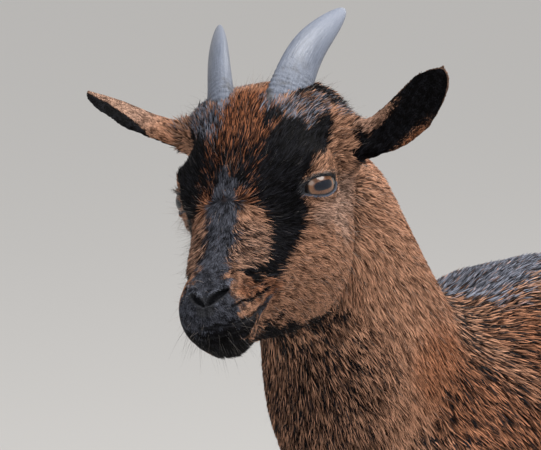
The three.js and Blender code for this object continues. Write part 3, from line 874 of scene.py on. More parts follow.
# %% Amount of each marking
def markings(points, normals, part):
    """The amount of each marking at each point."""
    head, body = nose_folded(from_head(points)), mirrored(points / MM)
    ragged = (wavy(points, 0.012, 3) - 0.5)[:, None] * 5
    on_face = part <= FLESH.index("lower_jaw")
    amount = {}
    for mask in MASKS:
        face = strokes(head + ragged, HEAD_STROKES.get(mask, []))
        rest = strokes(body + ragged, BODY_STROKES.get(mask, []))
        amount[mask] = np.where(on_face, face, rest)
    # the dark line under the jaw, partly dark hair and partly painted shadow, and the tan strips that part
    # dark areas of the face
    jaw = strokes(head + ragged, HEAD_STROKES["jaw"]) * (part <= FLESH.index("neck"))
    amount["black"] = np.maximum(amount["black"], jaw)
    tan = strokes(head + ragged * 0.4, HEAD_STROKES["tan"]) * on_face
    for mask in ("slate", "black"):
        amount[mask] *= 1 - 0.85 * tan
    # painted shade in the lip creases and on the side of the lip, the mixed patch below the eye and the
    # dark nose
    crease_shade = strokes(head, CREASE_SHADE_PATHS, 0.6) * on_face
    patch = fade(22, 12, reach(head, (18, -55, -14))) * on_face
    lip_side_shade = fade(15, 8, reach(head, (22, -68, -35))) * on_face
    amount["black"] = np.maximum.reduce([amount["black"], 0.95 * crease_shade, 0.45 * patch, 0.42 * lip_side_shade])
    amount["light"] = np.maximum(amount["light"], 0.4 * patch)
    amount["slate"] = np.maximum(amount["slate"], on_face * fade(-87, -91, head[:, 1]) * (1 - tan))
    # dark streaks in the ginger forehead, then how strong each marking is at most
    forehead = amount["ginger"] * on_face * fade(-40, -25, head[:, 1])
    streaks = forehead * (0.45 + 0.25 * fade(14, 34, head[:, 0]) + 0.35 * fade(12, -22, head[:, 1]))
    amount["black"] = np.maximum(amount["black"] * (1 - 0.4 * amount["grey"]), streaks)
    amount["grey"] *= np.where(on_face, 0.55, 0.75)
    amount["light"] *= np.where(on_face, 0.5, 0.65)
    amount["ginger"] *= np.where(on_face, 0.7 + 0.3 * fade(-40, -20, head[:, 1]), 0.7)
    # painted highlights along the nostrils' edges, and a grey far side of the crown
    rim_highlights = strokes(head, [laid(path, surface) for path in NOSE_RIM_HIGHLIGHTS], 0.7) * on_face
    amount["grey"] = np.maximum(amount["grey"], 0.75 * rim_highlights)
    far_crown = on_face * fade(0, -22, from_head(points)[:, 0]) * fade(30, 42, head[:, 2])
    amount["grey"] = np.maximum(amount["grey"], 0.6 * far_crown)
    # the body: painted shade on the front of the neck, partly dark streaks, and on the trunk's sides below
    # the back; dark legs and tail
    low_neck_shade = fade(-150, -215, body[:, 1]) * fade(470, 400, body[:, 2]) * ~on_face
    barrel_shade = (part == FLESH.index("trunk")) * fade(448, 425, body[:, 2])
    amount["black"] = np.maximum.reduce([amount["black"], 0.58 * low_neck_shade, 0.4 * barrel_shade])
    legs = part >= FLESH.index(LEGS[0])
    amount["black"] = np.maximum(amount["black"], legs * fade(210, 120, body[:, 2]))
    tail = part == FLESH.index("tail")
    amount["black"] = np.where(tail, fade(24, 6, body[:, 0]) * 0.9, amount["black"])
    for side in ("left", "right"):
        shade_ear(points, normals, part == FLESH.index(f"ear_{side}"), side, amount)
    return amount


print("markings:", ", ".join(MASKS), "over tan")

# %% Ears
EAR_OPENING = {"left": unit([-0.21, -0.94, 0.21]), "right": unit([-0.1, 0.53, -0.85])}
ear_tip, ear_root = {}, {}
for side in ("left", "right"):
    points = solid_arrays(f"ear_{side}")[0]
    order = np.argsort(reach(points, HEAD_ORIGIN))
    ear_tip[side], ear_root[side] = points[order[-1]], points[order[:12]].mean(0)
    ear_length = np.linalg.norm(ear_tip[side] - ear_root[side]) / MM
    print(side, "ear, from the middle of its root to its tip:", round(ear_length), "mm")


def shade_ear(points, normals, here, side, amount):
    """Black in the hollow, partly dark hair and partly painted shade, tan outside and over the root's upper
    edge, brown along the lower edge.
    """
    if not here.any():
        return
    hollow = fade(-0.45, 0.05, normals[here] @ (HEAD @ EAR_OPENING[side]))
    axis = ear_tip[side] - ear_root[side]
    away = points[here] - ear_root[side]
    along = away @ axis / (axis @ axis)
    upper = away @ unit(HEAD[:, 2] - axis * (HEAD[:, 2] @ axis) / (axis @ axis)) / MM
    # the right ear is black all round its front part: partly dark hair, partly painted shade
    if side == "right":
        sideways, back, _ = from_head(points[here]).T
        hollow = np.maximum(hollow, fade(1, -1, back - 38.5 - 0.26 * (np.abs(sideways) - 79)))
    root_fur = fade(0.62, 0.3, along) * fade(2, 9, upper) * (side == "left")
    lower_edge = fade(0.75, 0.45, along) * fade(-8, -15, upper) * (side == "left")
    amount["black"][here] = hollow * (1 - root_fur) * (1 - 0.75 * lower_edge)
    amount["light"][here] = np.maximum(0.4 * (1 - hollow) * fade(0.15, 0.5, along), 0.3 * root_fur)
    amount["ginger"][here] = np.maximum(0.3 * (1 - hollow) * (1 - along), hollow * lower_edge)
    amount["slate"][here] = amount["grey"][here] = 0


# %% Coat colour
def coat_group():
    """A node group that turns marking amounts into a tuft's colour, with painted shade at root and edges.
    """
    tree = bpy.data.node_groups.new("coat_colour", "ShaderNodeTree")
    for name in [mask.title() for mask in MASKS] + ["Lock", "Tip", "Across"]:
        tree.interface.new_socket(name, in_out="INPUT", socket_type="NodeSocketFloat")
    tree.interface.new_socket("Colour", in_out="OUTPUT", socket_type="NodeSocketColor")
    given, recipe = tree.nodes.new("NodeGroupInput").outputs, Recipe(tree)
    steps = (("Across", 1.6), ("Lock", 60.0), ("Tip", 0.9))  # how fast the hairs change each way
    where = recipe.add("CombineXYZ", *[recipe.math("MULTIPLY", given[n], step) for n, step in steps])
    hairs = recipe.stretch(recipe.noise(where, 2.0, 2.0, 0.6), 0.25, 0.75)
    lock = recipe.math("MULTIPLY_ADD", recipe.math("SUBTRACT", hairs, 0.5), 0.5, given["Lock"], clamp=True)
    tan = recipe.mix(lock, rgb(0.045, 0.019, 0.011), rgb(0.60, 0.32, 0.20))
    ginger = recipe.mix(lock, rgb(0.03, 0.011, 0.006), rgb(0.44, 0.165, 0.075))
    light = recipe.mix(lock, rgb(0.15, 0.085, 0.06), rgb(0.84, 0.60, 0.48))
    slate = recipe.mix(lock, rgb(0.007, 0.007, 0.009), rgb(0.105, 0.11, 0.135))
    # grey: grey hair round the horns, and painted highlights and sheen on the nose and back
    grey = recipe.mix(lock, rgb(0.014, 0.015, 0.019), rgb(0.26, 0.275, 0.335))
    dark_lock = recipe.math("POWER", lock, 3.0)
    black = recipe.mix(dark_lock, rgb(0.0018, 0.0016, 0.0018), rgb(0.016, 0.016, 0.02))
    colour = recipe.mix(given["Ginger"], tan, ginger)
    colour = recipe.mix(given["Light"], colour, light)
    colour = recipe.mix(given["Slate"], colour, slate)
    colour = recipe.mix(given["Black"], colour, black)
    colour = recipe.mix(given["Grey"], colour, grey)
    # darker towards the root: partly the hair's paler tips, partly painted shade where tufts cover each
    # other
    shade = recipe.math("MULTIPLY_ADD", given["Tip"], 1.05, 0.2)
    # darker along both edges: painted shade that makes a flat leaf look round
    rounded = recipe.math("MULTIPLY_ADD", recipe.math("POWER", given["Across"], 2.0), -0.5, 1.0)
    colour = recipe.mix(1.0, colour, recipe.math("MULTIPLY", shade, rounded), blend="MULTIPLY")
    recipe.feed(tree.nodes.new("NodeGroupOutput").inputs["Colour"], colour)
    return tree


coat_colour = coat_group()
print("colour group:", len(coat_colour.nodes), "nodes")


def coat_finish(name, roughness):
    """A material whose colour comes from the marking amounts kept in the mesh."""
    made, recipe, shader = material(name)
    group = recipe.tree.nodes.new("ShaderNodeGroup")
    group.node_tree = coat_colour
    for socket in group.inputs:
        recipe.feed(socket, recipe.attribute(socket.name.lower()))
    recipe.feed(shader.inputs["Base Color"], group.outputs["Colour"])
    shader.inputs["Roughness"].default_value = roughness
    shader.inputs["Specular IOR Level"].default_value = 0.05
    return made, recipe, shader


# %% Skin piece
def set_values(mesh, name, values):
    """Keeps one number for each point of a mesh, for its material to read."""
    attribute = mesh.attributes.new(name, "FLOAT", "POINT")
    attribute.data.foreach_set("value", np.ascontiguousarray(values, np.float32))


skin_amount = markings(skin_points, skin_normals, skin_part)
for mask in MASKS:
    set_values(skin_mesh, mask, skin_amount[mask])
set_values(skin_mesh, "lock", 0.25 + 0.3 * wavy(skin_points, 0.006, 11))
# the skin is coloured like the lower part of a tuft, darkened by the same painted shade
set_values(skin_mesh, "tip", np.full(len(skin_points), 0.25))
set_values(skin_mesh, "across", wavy(skin_points, 0.001, 12))
rim = fade(2.0, 1.2, eye_gap)
nose_pad = fade(5.5, 3, path_distance(skin_folded, [(0, -98, -32, 1), (2, -99, -37, 1)])[0])
bare = np.maximum.reduce([rim, fade(2.0, 1.3, nostril_gap), fade(1.6, 0.7, mouth_gap), nose_pad])
bare *= on_head_part
set_values(skin_mesh, "bare", bare)
# a bluish painted sheen along the moist rim of the lower lid
wet = fade(0.5, 0.9, under_lid) * fade(1.9, 1.3, under_lid) * fade(1.9, 1.4, eye_gap)
set_values(skin_mesh, "wet", wet)
skin_mesh.shade_smooth()
skin_finish, recipe, shader = coat_finish("skin_under_coat", 0.75)
pebbles = recipe.noise(recipe.place(), 1500.0, 2.0, 0.55)
leather = recipe.mix(recipe.stretch(pebbles, 0.35, 0.7), rgb(0.008, 0.008, 0.009), rgb(0.045, 0.046, 0.052))
leather = recipe.mix(recipe.attribute("wet"), leather, rgb(0.075, 0.085, 0.115))
covered = shader.inputs["Base Color"].links[0].from_socket
recipe.feed(shader.inputs["Base Color"], recipe.mix(recipe.attribute("bare"), covered, leather))
recipe.feed(shader.inputs["Roughness"], recipe.math("MULTIPLY_ADD", recipe.attribute("bare"), -0.35, 0.78))
bump(recipe, shader, pebbles, 0.0005)
skin_mesh.materials.append(skin_finish)
skin = new_piece("skin", skin_mesh)
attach(skin, "root")
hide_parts(*FLESH)
skin_mesh.calc_loop_triangles()
print("skin triangles:", len(skin_mesh.loop_triangles))

# %% [markdown]
# ## Eyes
#
# A goat's eye is a ball with a clear bulging front, an amber iris with a dark rim and a level
# pupil shaped like a rounded bar. It could be two shells, a clear one over an iris. One closed
# ball with a bulging glossy front is simpler, and the lids hide the rest of it. It carries the
# same chart as the lids, so the material draws the iris and pupil from two distances, along and
# across the slit.

# %% Eyeballs
def grid_faces(rows, columns):
    """Quads of a grid whose columns close on themselves."""
    i, j = np.meshgrid(np.arange(rows - 1), np.arange(columns), indexing="ij")
    k = (j + 1) % columns
    first, second = i * columns, (i + 1) * columns
    return np.stack([first + j, first + k, second + k, second + j], -1).reshape(-1, 4)


EYE_ROWS, EYE_COLUMNS = 60, 72
EYE_POLE = 0.012  # radians, about what stays open at each pole until a flat face caps it


def eyeball(side):
    columns = EYE_COLUMNS
    angle = np.linspace(EYE_POLE, math.pi - EYE_POLE, EYE_ROWS) ** 1.1
    angle = angle / angle[-1] * (math.pi - EYE_POLE)
    turn = np.linspace(0, 2 * math.pi, columns, endpoint=False)
    a, t = np.meshgrid(angle, turn, indexing="ij")
    way = np.cos(a)[..., None] * EYE_AXIS + np.sin(a)[..., None] * (
        np.cos(t)[..., None] * EYE_SLIT + np.sin(t)[..., None] * EYE_RISE)
    local = (EYE_PLACE + way * ball_radius(a)[..., None]).reshape(-1, 3) * [side, 1, 1]
    faces = [list(f) for f in grid_faces(len(angle), columns)[:, ::-side].tolist()]
    last = (len(angle) - 1) * columns
    faces += [list(range(columns))[::side], list(range(last, last + columns))[::-side]]
    mesh = mesh_from("eyeball", on_head(local), faces)
    set_values(mesh, "along", (EYE_RADIUS * a * np.cos(t)).ravel())
    set_values(mesh, "across", (EYE_RADIUS * a * np.sin(t)).ravel())
    mesh.shade_smooth()
    return mesh


print("eyeballs of", EYE_RADIUS, "mm radius")

# %% Iris and pupil
iris_finish, recipe, shader = material("eye_iris")
along, across = recipe.attribute("along"), recipe.attribute("across")


def oval(recipe, length, height, power):
    """Below 1 inside a rounded shape of the given half length and half height, in mm."""
    u = recipe.math("POWER", recipe.math("ABSOLUTE", recipe.math("DIVIDE", along, length)), power)
    v = recipe.math("POWER", recipe.math("ABSOLUTE", recipe.math("DIVIDE", across, height)), power)
    return recipe.math("ADD", u, v)


around = recipe.math("ARCTAN2", across, along)
outwards = recipe.math("MULTIPLY", along, 0.08)
spokes = recipe.add("CombineXYZ", recipe.math("MULTIPLY", around, 5.0), outwards, 0.0)
streak = recipe.noise(spokes, 2.2, 4.0, 0.65)
ring = oval(recipe, 9.6, 8.6, 2.0)
iris = recipe.mix(recipe.stretch(streak, 0.3, 0.7), rgb(0.08, 0.032, 0.016), rgb(0.22, 0.10, 0.055))
iris = recipe.mix(recipe.stretch(ring, 0.35, 0.8), iris, rgb(0.22, 0.105, 0.052))
iris = recipe.mix(recipe.stretch(ring, 0.78, 1.0), iris, rgb(0.012, 0.008, 0.007))
iris = recipe.mix(recipe.stretch(ring, 1.0, 1.15), iris, rgb(0.012, 0.010, 0.010))
pupil = oval(recipe, 5.8, 2.5, 2.8)
lid_shadow = recipe.math("MULTIPLY", recipe.stretch(across, 0.5, 5.0), 0.6)
iris = recipe.mix(lid_shadow, iris, rgb(0.03, 0.018, 0.014))
iris = recipe.mix(recipe.stretch(pupil, 1.5, 0.85), iris, rgb(0.004, 0.006, 0.012))
recipe.feed(shader.inputs["Base Color"], iris)
shader.inputs["Roughness"].default_value = 0.12
shader.inputs["Coat Weight"].default_value = 0.4
shader.inputs["Coat Roughness"].default_value = 0.06
shader.inputs["Specular IOR Level"].default_value = 0.3
bump(recipe, shader, streak, 0.0002, 0.4)

for side, name in ((1, "left"), (-1, "right")):
    mesh = eyeball(side)
    mesh.materials.append(iris_finish)
    piece = new_piece(f"eyeball_{name}", mesh)
    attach(piece, "root")
    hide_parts(f"eye_{name}")
print("eyes made")

# %% [markdown]
# ## Horns and hooves
#
# Both are keratin, laid down in rings. A horn is an oval swept along its curve, with a blunt
# tip, a slight keel in front and crowded ridges at the base. A curve with a bevel could sweep it,
# but rings of points worked out one by one let the ridges fade upwards and wear unevenly. Hooves
# follow the frame's boxes, with a sloping front wall, growth rings and a flat sole.

# %% Horns
HORN_SPINE = [(20, 22, 34), (24, 40, 53), (31, 63, 70), (43, 98, 82)]
HORN_OVAL, HORN_TURN = (13.8, 8.2), math.radians(35)


def swept(rings):
    """A closed mesh through a stack of rings of equal count, capped with flat ends."""
    rows, columns = rings.shape[:2]
    faces = [list(f) for f in grid_faces(rows, columns).tolist()]
    faces += [list(range(columns))[::-1], list(range((rows - 1) * columns, rows * columns))]
    return rings.reshape(-1, 3), faces


def horn(side, rows=150, columns=56):
    spine = smooth_path([(side * x, y, z) for x, y, z in HORN_SPINE], 40)
    gone = np.r_[0, np.cumsum(np.linalg.norm(np.diff(spine, axis=0), axis=1))]
    t = 0.9985 * (1 - (1 - np.linspace(0, 1, rows)) ** 1.4)
    middle = np.column_stack([np.interp(t * gone[-1], gone, column) for column in spine.T])
    along = unit(np.gradient(middle, axis=0))
    across = unit(np.array([1.0, 0, 0]) - along * along[:, :1])
    fore = np.cross(across, along)
    turn = np.linspace(0, 2 * math.pi, columns, endpoint=False)
    size = np.sqrt(1 - t**4) * (1.08 - 0.45 * t)
    ridges = fade(0.42, 0.2, t) * np.sin(t * 150 + 3 * np.sin(t * 23)) * 0.035
    keel = 1 + 0.05 * np.clip(np.cos(turn), 0, 1) ** 10
    rough = 0.02 * (wavy(np.column_stack([np.cos(turn), np.sin(turn), turn * 0]) * 0.01, 0.006, 4) - 0.5)
    worn = rough * fade(0.5, 0.1, t)[:, None]
    radius = size[:, None] * (keel + ridges[:, None] * (1 + 14 * rough) + worn)
    a, b = HORN_OVAL[0] * radius * np.cos(turn), HORN_OVAL[1] * radius * np.sin(turn)
    forward = a * math.cos(HORN_TURN) + b * math.sin(HORN_TURN)
    outward = side * (b * math.cos(HORN_TURN) - a * math.sin(HORN_TURN))
    rings = middle[:, None] + fore[:, None] * forward[..., None] + across[:, None] * outward[..., None]
    points, faces = swept(on_head(rings)[:, ::side])
    mesh = mesh_from("horn", points, faces)
    set_values(mesh, "up", np.repeat(t, columns))
    set_values(mesh, "turn", np.tile(turn[::side], rows))
    mesh.shade_smooth()
    return mesh


print("half sizes of the horn's oval:", HORN_OVAL, "mm")

# %% Horn finish
horn_finish, recipe, shader = material("horn_keratin")
up, turn = recipe.attribute("up"), recipe.attribute("turn")
around, sideways = recipe.math("COSINE", turn), recipe.math("SINE", turn)
grain_place = recipe.add("CombineXYZ", around, sideways, recipe.math("MULTIPLY", up, 0.8))
grain = recipe.noise(grain_place, 14.0, 4.0, 0.6)
mottle = recipe.noise(recipe.place(), 120.0, 4.0, 0.62)
low_down = recipe.stretch(up, 0.5, 0.2)
tone = recipe.mix(recipe.stretch(grain, 0.3, 0.7), rgb(0.095, 0.11, 0.145), rgb(0.17, 0.19, 0.24))
tone = recipe.mix(recipe.stretch(up, 0.55, 1.0), tone, rgb(0.19, 0.21, 0.265))
specks = recipe.math("MULTIPLY", low_down, recipe.stretch(mottle, 0.5, 0.68))
tone = recipe.mix(specks, tone, rgb(0.06, 0.058, 0.06))
recipe.feed(shader.inputs["Base Color"], tone)
recipe.feed(shader.inputs["Roughness"], recipe.math("MULTIPLY_ADD", low_down, 0.3, 0.36))
crust = recipe.noise(recipe.place(), 420.0, 4.0, 0.65)
crust = recipe.math("MULTIPLY", crust, recipe.math("ADD", low_down, 0.15))
bump(recipe, shader, recipe.math("ADD", crust, recipe.math("MULTIPLY", grain, 0.25)), 0.0012)

for side, name in ((1, "left"), (-1, "right")):
    mesh = horn(side)
    mesh.materials.append(horn_finish)
    piece = new_piece(f"horn_sheath_{name}", mesh)
    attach(piece, "root")
    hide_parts(f"horn_{name}")
print("horns made")

# %% Claws
HOOF_TOP, HOOF_SLOPE, CLAW_LENGTH, CLAW_BACK = 22, 0.34, 37, 3  # as the frame's claws are
DEWCLAW_HALF = [4.4, 5.6, 7.2]  # mm


def claw(node, toe):
    """A claw from its node's box. toe is 1 where the claw lies to the goat's left of its cleft."""
    low, high = (np.array(corner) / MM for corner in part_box(node))
    columns, rows = 56, 26
    scale = (high[1] - low[1]) / CLAW_LENGTH
    middle = (low + high) / 2
    turn = np.linspace(0, 2 * math.pi, columns, endpoint=False)
    height = np.linspace(0, 1, rows)[:, None]
    across, along = np.cos(turn), np.sin(turn)
    tip = np.maximum(-along, 0)
    half = (high[0] - low[0]) / 2
    width = np.where(toe * across < 0, 1, 1 - 0.4 * tip**2 - 0.07 * height) * half
    ringed = 1 - 0.022 * (0.5 + 0.5 * np.sin(height * 38)) - 0.10 * fade(0.14, 0, height)
    y = middle[1] + along * (high[1] - low[1]) / 2 * ringed + height * 12 * scale * tip**1.5
    top = HOOF_TOP * scale - HOOF_SLOPE * (y - middle[1] - CLAW_BACK * scale)
    x = middle[0] + across * width * ringed
    return swept(np.stack([x, y, height * top], -1) * MM)


def dewclaw(node):
    low, high = (np.array(corner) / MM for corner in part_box(node))
    turn = np.linspace(0, 2 * math.pi, 24, endpoint=False)
    angle, turn = np.meshgrid(np.linspace(0.02, 3.12, 18), turn, indexing="ij")
    ball = [np.sin(angle) * np.cos(turn), np.sin(angle) * np.sin(turn), np.cos(angle)]
    ball = np.stack(ball, -1) * DEWCLAW_HALF
    ball = (ball @ turned(0, math.degrees(-0.5)).T)[::-1]
    return swept(((low + high) / 2 + ball) * MM)


print("claws", CLAW_LENGTH, "mm long at full scale")

# %% Hooves
hoof_finish, recipe, shader = material("hoof_keratin")
rings = recipe.noise(recipe.place((60, 60, 700)), 1.0, 3.0, 0.6)
tone = recipe.mix(recipe.stretch(rings, 0.35, 0.7), rgb(0.016, 0.014, 0.013), rgb(0.06, 0.052, 0.046))
recipe.feed(shader.inputs["Base Color"], tone)
recipe.feed(shader.inputs["Roughness"], recipe.stretch(rings, -0.4, 1.3))
bump(recipe, shader, rings, 0.0008, 0.8)

for leg in LEGS:
    shapes, nodes = [], []
    kind_side = leg.removeprefix("leg_")
    outwards = 1 if leg.endswith("left") else -1
    for claw_side, toe in (("outer", outwards), ("inner", -outwards)):
        nodes += [f"claw_{kind_side}_{claw_side}", f"dewclaw_{kind_side}_{claw_side}"]
        shapes += [claw(nodes[-2], toe), dewclaw(nodes[-1])]
    points, faces, count = [], [], 0
    for shape_points, shape_faces in shapes:
        points.append(shape_points)
        faces += [[k + count for k in face] for face in shape_faces]
        count += len(shape_points)
    mesh = mesh_from("hoof", np.vstack(points), faces)
    mesh.shade_smooth()
    mesh.set_sharp_from_angle(angle=math.radians(50))
    mesh.materials.append(hoof_finish)
    piece = new_piece(f"hoof_{kind_side}", mesh)
    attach(piece, "root")
    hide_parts(*nodes)
print("hooves made")

# %% [markdown]
# ## The coat
#
# A goat's coat is short and close on the face, longer and coarser over the body, and lies one
# way like thatch. Hair curves could draw it, but they are lost when the model is exported, so
# the coat is many small tufts joined from arrays. Every tuft is a thin closed leaf of four
# triangles. Its foot sits in the skin, its way follows guides combed over the body, and it lies
# along the form with only its tip a little proud. Colour is chosen tuft by tuft: where two
# markings meet, whole tufts of each mingle as hairs do.

# %% Combing guides
HEAD_GUIDES = [  # place and direction in the head's frame, folded left
    ((0, -30, 20), (0.1, 0.3, 0.9)), ((14, -28, 18), (0.7, 0.2, 0.65)),
    ((22, -5, 37), (0.5, 0.4, 0.75)), ((0, -5, 42), (0.05, 0.5, 0.85)),
    ((10, 15, 51), (0.2, 0.85, 0.5)), ((0, 50, 54), (0, 0.95, -0.1)), ((0, 85, 35), (0, 0.7, -0.7)),
    ((40, 0, 22), (0.5, 0.6, 0.6)), ((30, -20, 6), (0.75, 0.5, 0.3)), ((46, 10, 16), (0.35, 0.85, 0.4)),
    ((50, 32, 0), (0.25, 0.9, -0.35)), ((46, 5, -18), (0.45, 0.7, -0.55)),
    ((0, -46, 4), (0.1, -0.5, -0.85)), ((0, -62, -8), (0.1, -0.65, -0.75)),
    ((14, -50, 0), (0.85, 0.1, -0.5)), ((22, -52, -14), (0.75, 0.4, -0.5)),
    ((18, -70, -22), (0.7, 0.35, -0.6)), ((22, -78, -36), (0.5, 0.5, -0.7)),
    ((6, -86, -23), (0.5, -0.5, -0.7)), ((8, -99, -38), (0.6, 0.1, -0.8)),
    ((38, -20, -30), (0.4, 0.7, -0.6)), ((30, -56, -44), (0.3, 0.9, -0.3)),
    ((29, -62, -34), (0.4, 0.85, -0.3)), ((40, 10, -50), (0.15, 0.65, -0.75)),
    ((46, 40, -40), (0.1, 0.7, -0.7)), ((27, -40, -58), (0.3, 0.75, -0.6)),
    ((0, -95, -60), (0, 0.35, -0.9)), ((14, -80, -60), (0.3, 0.6, -0.75)),
    ((0, -40, -80), (0, 0.8, -0.6)), ((0, 20, -95), (0, 0.6, -0.8)), ((48, 45, 20), (0.65, 0.7, 0.1)),
    ((30, 40, 42), (0.5, 0.8, 0.1)),
]
BODY_GUIDES = [  # place and direction in the row's frame, folded left
    ((60, -210, 470), (0.1, 0.2, -0.95)), ((0, -262, 420), (0, -0.05, -1)),
    ((0, -110, 490), (0, 0.7, -0.7)), ((65, -160, 430), (0.1, 0.35, -0.93)),
    ((88, -120, 370), (0.05, 0.4, -0.9)), ((0, -250, 340), (0, 0.2, -1)), ((0, -50, 445), (0, 1, -0.1)),
    ((0, 100, 447), (0, 1, 0)), ((0, 215, 435), (0, 0.9, -0.35)), ((105, 60, 340), (0, 0.75, -0.65)),
    ((60, -30, 430), (0.3, 0.8, -0.5)), ((60, 130, 430), (0.3, 0.85, -0.4)), ((0, 40, 225), (0, 1, 0)),
    ((85, 220, 350), (0, 0.4, -0.9)), ((0, 300, 350), (0, 0.1, -1)), ((60, -150, 260), (0, 0.15, -1)),
    ((50, 210, 240), (0, 0.2, -1)),
]


def both_sides(guides):
    places, ways = np.array(guides, float).transpose(1, 0, 2)
    flip = np.array([-1, 1, 1])
    return np.vstack([places, places * flip]), np.vstack([ways, ways * flip])


head_places, head_ways = both_sides(HEAD_GUIDES)
body_places, body_ways = both_sides(BODY_GUIDES)
guide_places = np.vstack([on_head(head_places), body_places * MM])
guide_ways = unit(np.vstack([head_ways @ HEAD.T, body_ways]))


print("guides for the lie of the coat:", len(guide_places))

# %% Lie of the coat
GUIDE_BLUR = 0.007  # m within which a guide no longer pulls harder
AT_ONCE = 20000  # points in one go, to spare memory


def combed(points, normals, part):
    """The lie of the coat at each point, along the skin."""
    lie = np.empty_like(points)
    for start in range(0, len(points), AT_ONCE):
        some = slice(start, start + AT_ONCE)
        gap = ((points[some, None] - guide_places) ** 2).sum(2)
        weight = 1 / (gap + GUIDE_BLUR**2) ** 2
        lie[some] = (weight / weight.sum(1, keepdims=True)) @ guide_ways
    for side in ("left", "right"):
        lie[part == FLESH.index(f"ear_{side}")] = unit(ear_tip[side] - ear_root[side])
    lie[part >= FLESH.index(LEGS[0])] = unit([0, 0.12, -1])
    lie[part == FLESH.index("tail")] = unit([0, 0.6, 0.8])
    return unit(lie - normals * (lie * normals).sum(1, keepdims=True))


print("points combed in one go:", AT_ONCE)

# %% Unwrap of the skin
bpy.context.view_layer.objects.active = skin
skin.select_set(True)
bpy.ops.object.mode_set(mode="EDIT")
bpy.ops.mesh.select_all(action="SELECT")
bpy.ops.uv.smart_project(angle_limit=math.radians(70), island_margin=0.001)
bpy.ops.object.mode_set(mode="OBJECT")
skin_mesh.uv_layers[0].name = "OFBake"
corner_uv = read(skin_mesh.uv_layers[0].data, "uv", 2)
print("skin unwrapped:", len(corner_uv), "corners")

# %% Roots
skin_mesh.calc_loop_triangles()
triangle_points = read(skin_mesh.loop_triangles, "vertices", kind=np.int64)
triangle_loops = read(skin_mesh.loop_triangles, "loops", kind=np.int64)
print("skin triangles that tufts can root in:", len(triangle_points))


def scatter(density, count):
    """Roots over the skin, as many as count, thick where density is high. Density is per point."""
    a, b, c = skin_points[triangle_points].transpose(1, 0, 2)
    area = np.linalg.norm(np.cross(b - a, c - a), axis=1) * density[triangle_points].mean(1)
    total = np.cumsum(area)
    spots = (np.arange(count) + chance.random(count)) / count * total[-1]
    chosen = np.minimum(np.searchsorted(total, spots), len(total) - 1)
    u, v = chance.random((2, count))
    turn_back = u + v > 1
    u, v = np.where(turn_back, 1 - u, u), np.where(turn_back, 1 - v, v)
    share = np.column_stack([1 - u - v, u, v])
    return chosen, share


def at_roots(values, corners, share):
    """A value of the skin's points or corners, read at each root inside its triangle."""
    if values.ndim > 1:
        share = share[..., None]
    return (values[corners] * share).sum(1)


# %% Leaf of a tuft
# A tuft is a closed leaf: foot, left edge, right edge, tip. Two faces lie above and two below.
TUFT_CORNERS = [(0, 0, -0.15), (0.4, -1, 0.56), (0.4, 1, 0.56), (1, 0, 1)]  # along, across, up
TUFT_FACES = [(0, 1, 2), (1, 3, 2), (0, 3, 1), (0, 2, 3)]
PATCH = 0.003  # how much of the unwrap each tuft or hair takes


def repeated(faces, count, each):
    """The triangles of one tuft or hair, for count of them with so many points each."""
    return (np.array(faces)[None] + (np.arange(count) * each)[:, None, None]).reshape(-1, 3)


def triangle_mesh(name, points, faces):
    """A mesh from arrays of points and triangles, made fast enough for many tufts."""
    mesh = bpy.data.meshes.new(name)
    mesh.vertices.add(len(points))
    mesh.vertices.foreach_set("co", points.ravel())
    mesh.loops.add(faces.size)
    mesh.loops.foreach_set("vertex_index", faces.ravel().astype(np.int32))
    mesh.polygons.add(len(faces))
    mesh.polygons.foreach_set("loop_start", np.arange(0, faces.size, 3, dtype=np.int32))
    mesh.update(calc_edges=True)
    return mesh


def set_patches(mesh, patches, corner, faces):
    """Unwraps each tuft or hair onto a small patch of its own, round its root's place."""
    uv = (patches[:, None] + corner).reshape(-1, 2)[faces.ravel()]
    mesh.uv_layers.new(name="OFBake").data.foreach_set("uv", uv.ravel())


print("triangles in a tuft:", len(TUFT_FACES))

# %% Colour of the tufts
def colour_tufts(mesh, root, middle, normal, part):
    """Keeps each tuft's markings in the mesh, and lock, which is how pale the tuft is."""
    count, each = len(root), len(TUFT_CORNERS)
    amount = markings(middle, normal, part)
    for mask in MASKS:
        odds = chance.random(count)
        strong = fade(odds - 0.18, odds + 0.18, amount[mask] * 1.36 - 0.18)
        soft = mask in ("ginger", "light")
        set_values(mesh, mask, np.repeat(amount[mask] if soft else strong, each))
    lock = fade(0.08, 0.92, 0.66 * chance.random(count) + 0.34 * wavy(root, 0.006, 11))
    calm = 0.4 * (part == FLESH.index("trunk")) * fade(-0.05, 0.05, root[:, 1])
    lock += calm * (0.5 - lock)
    set_values(mesh, "lock", np.repeat(lock, each))


print("markings kept in each tuft:", len(MASKS))

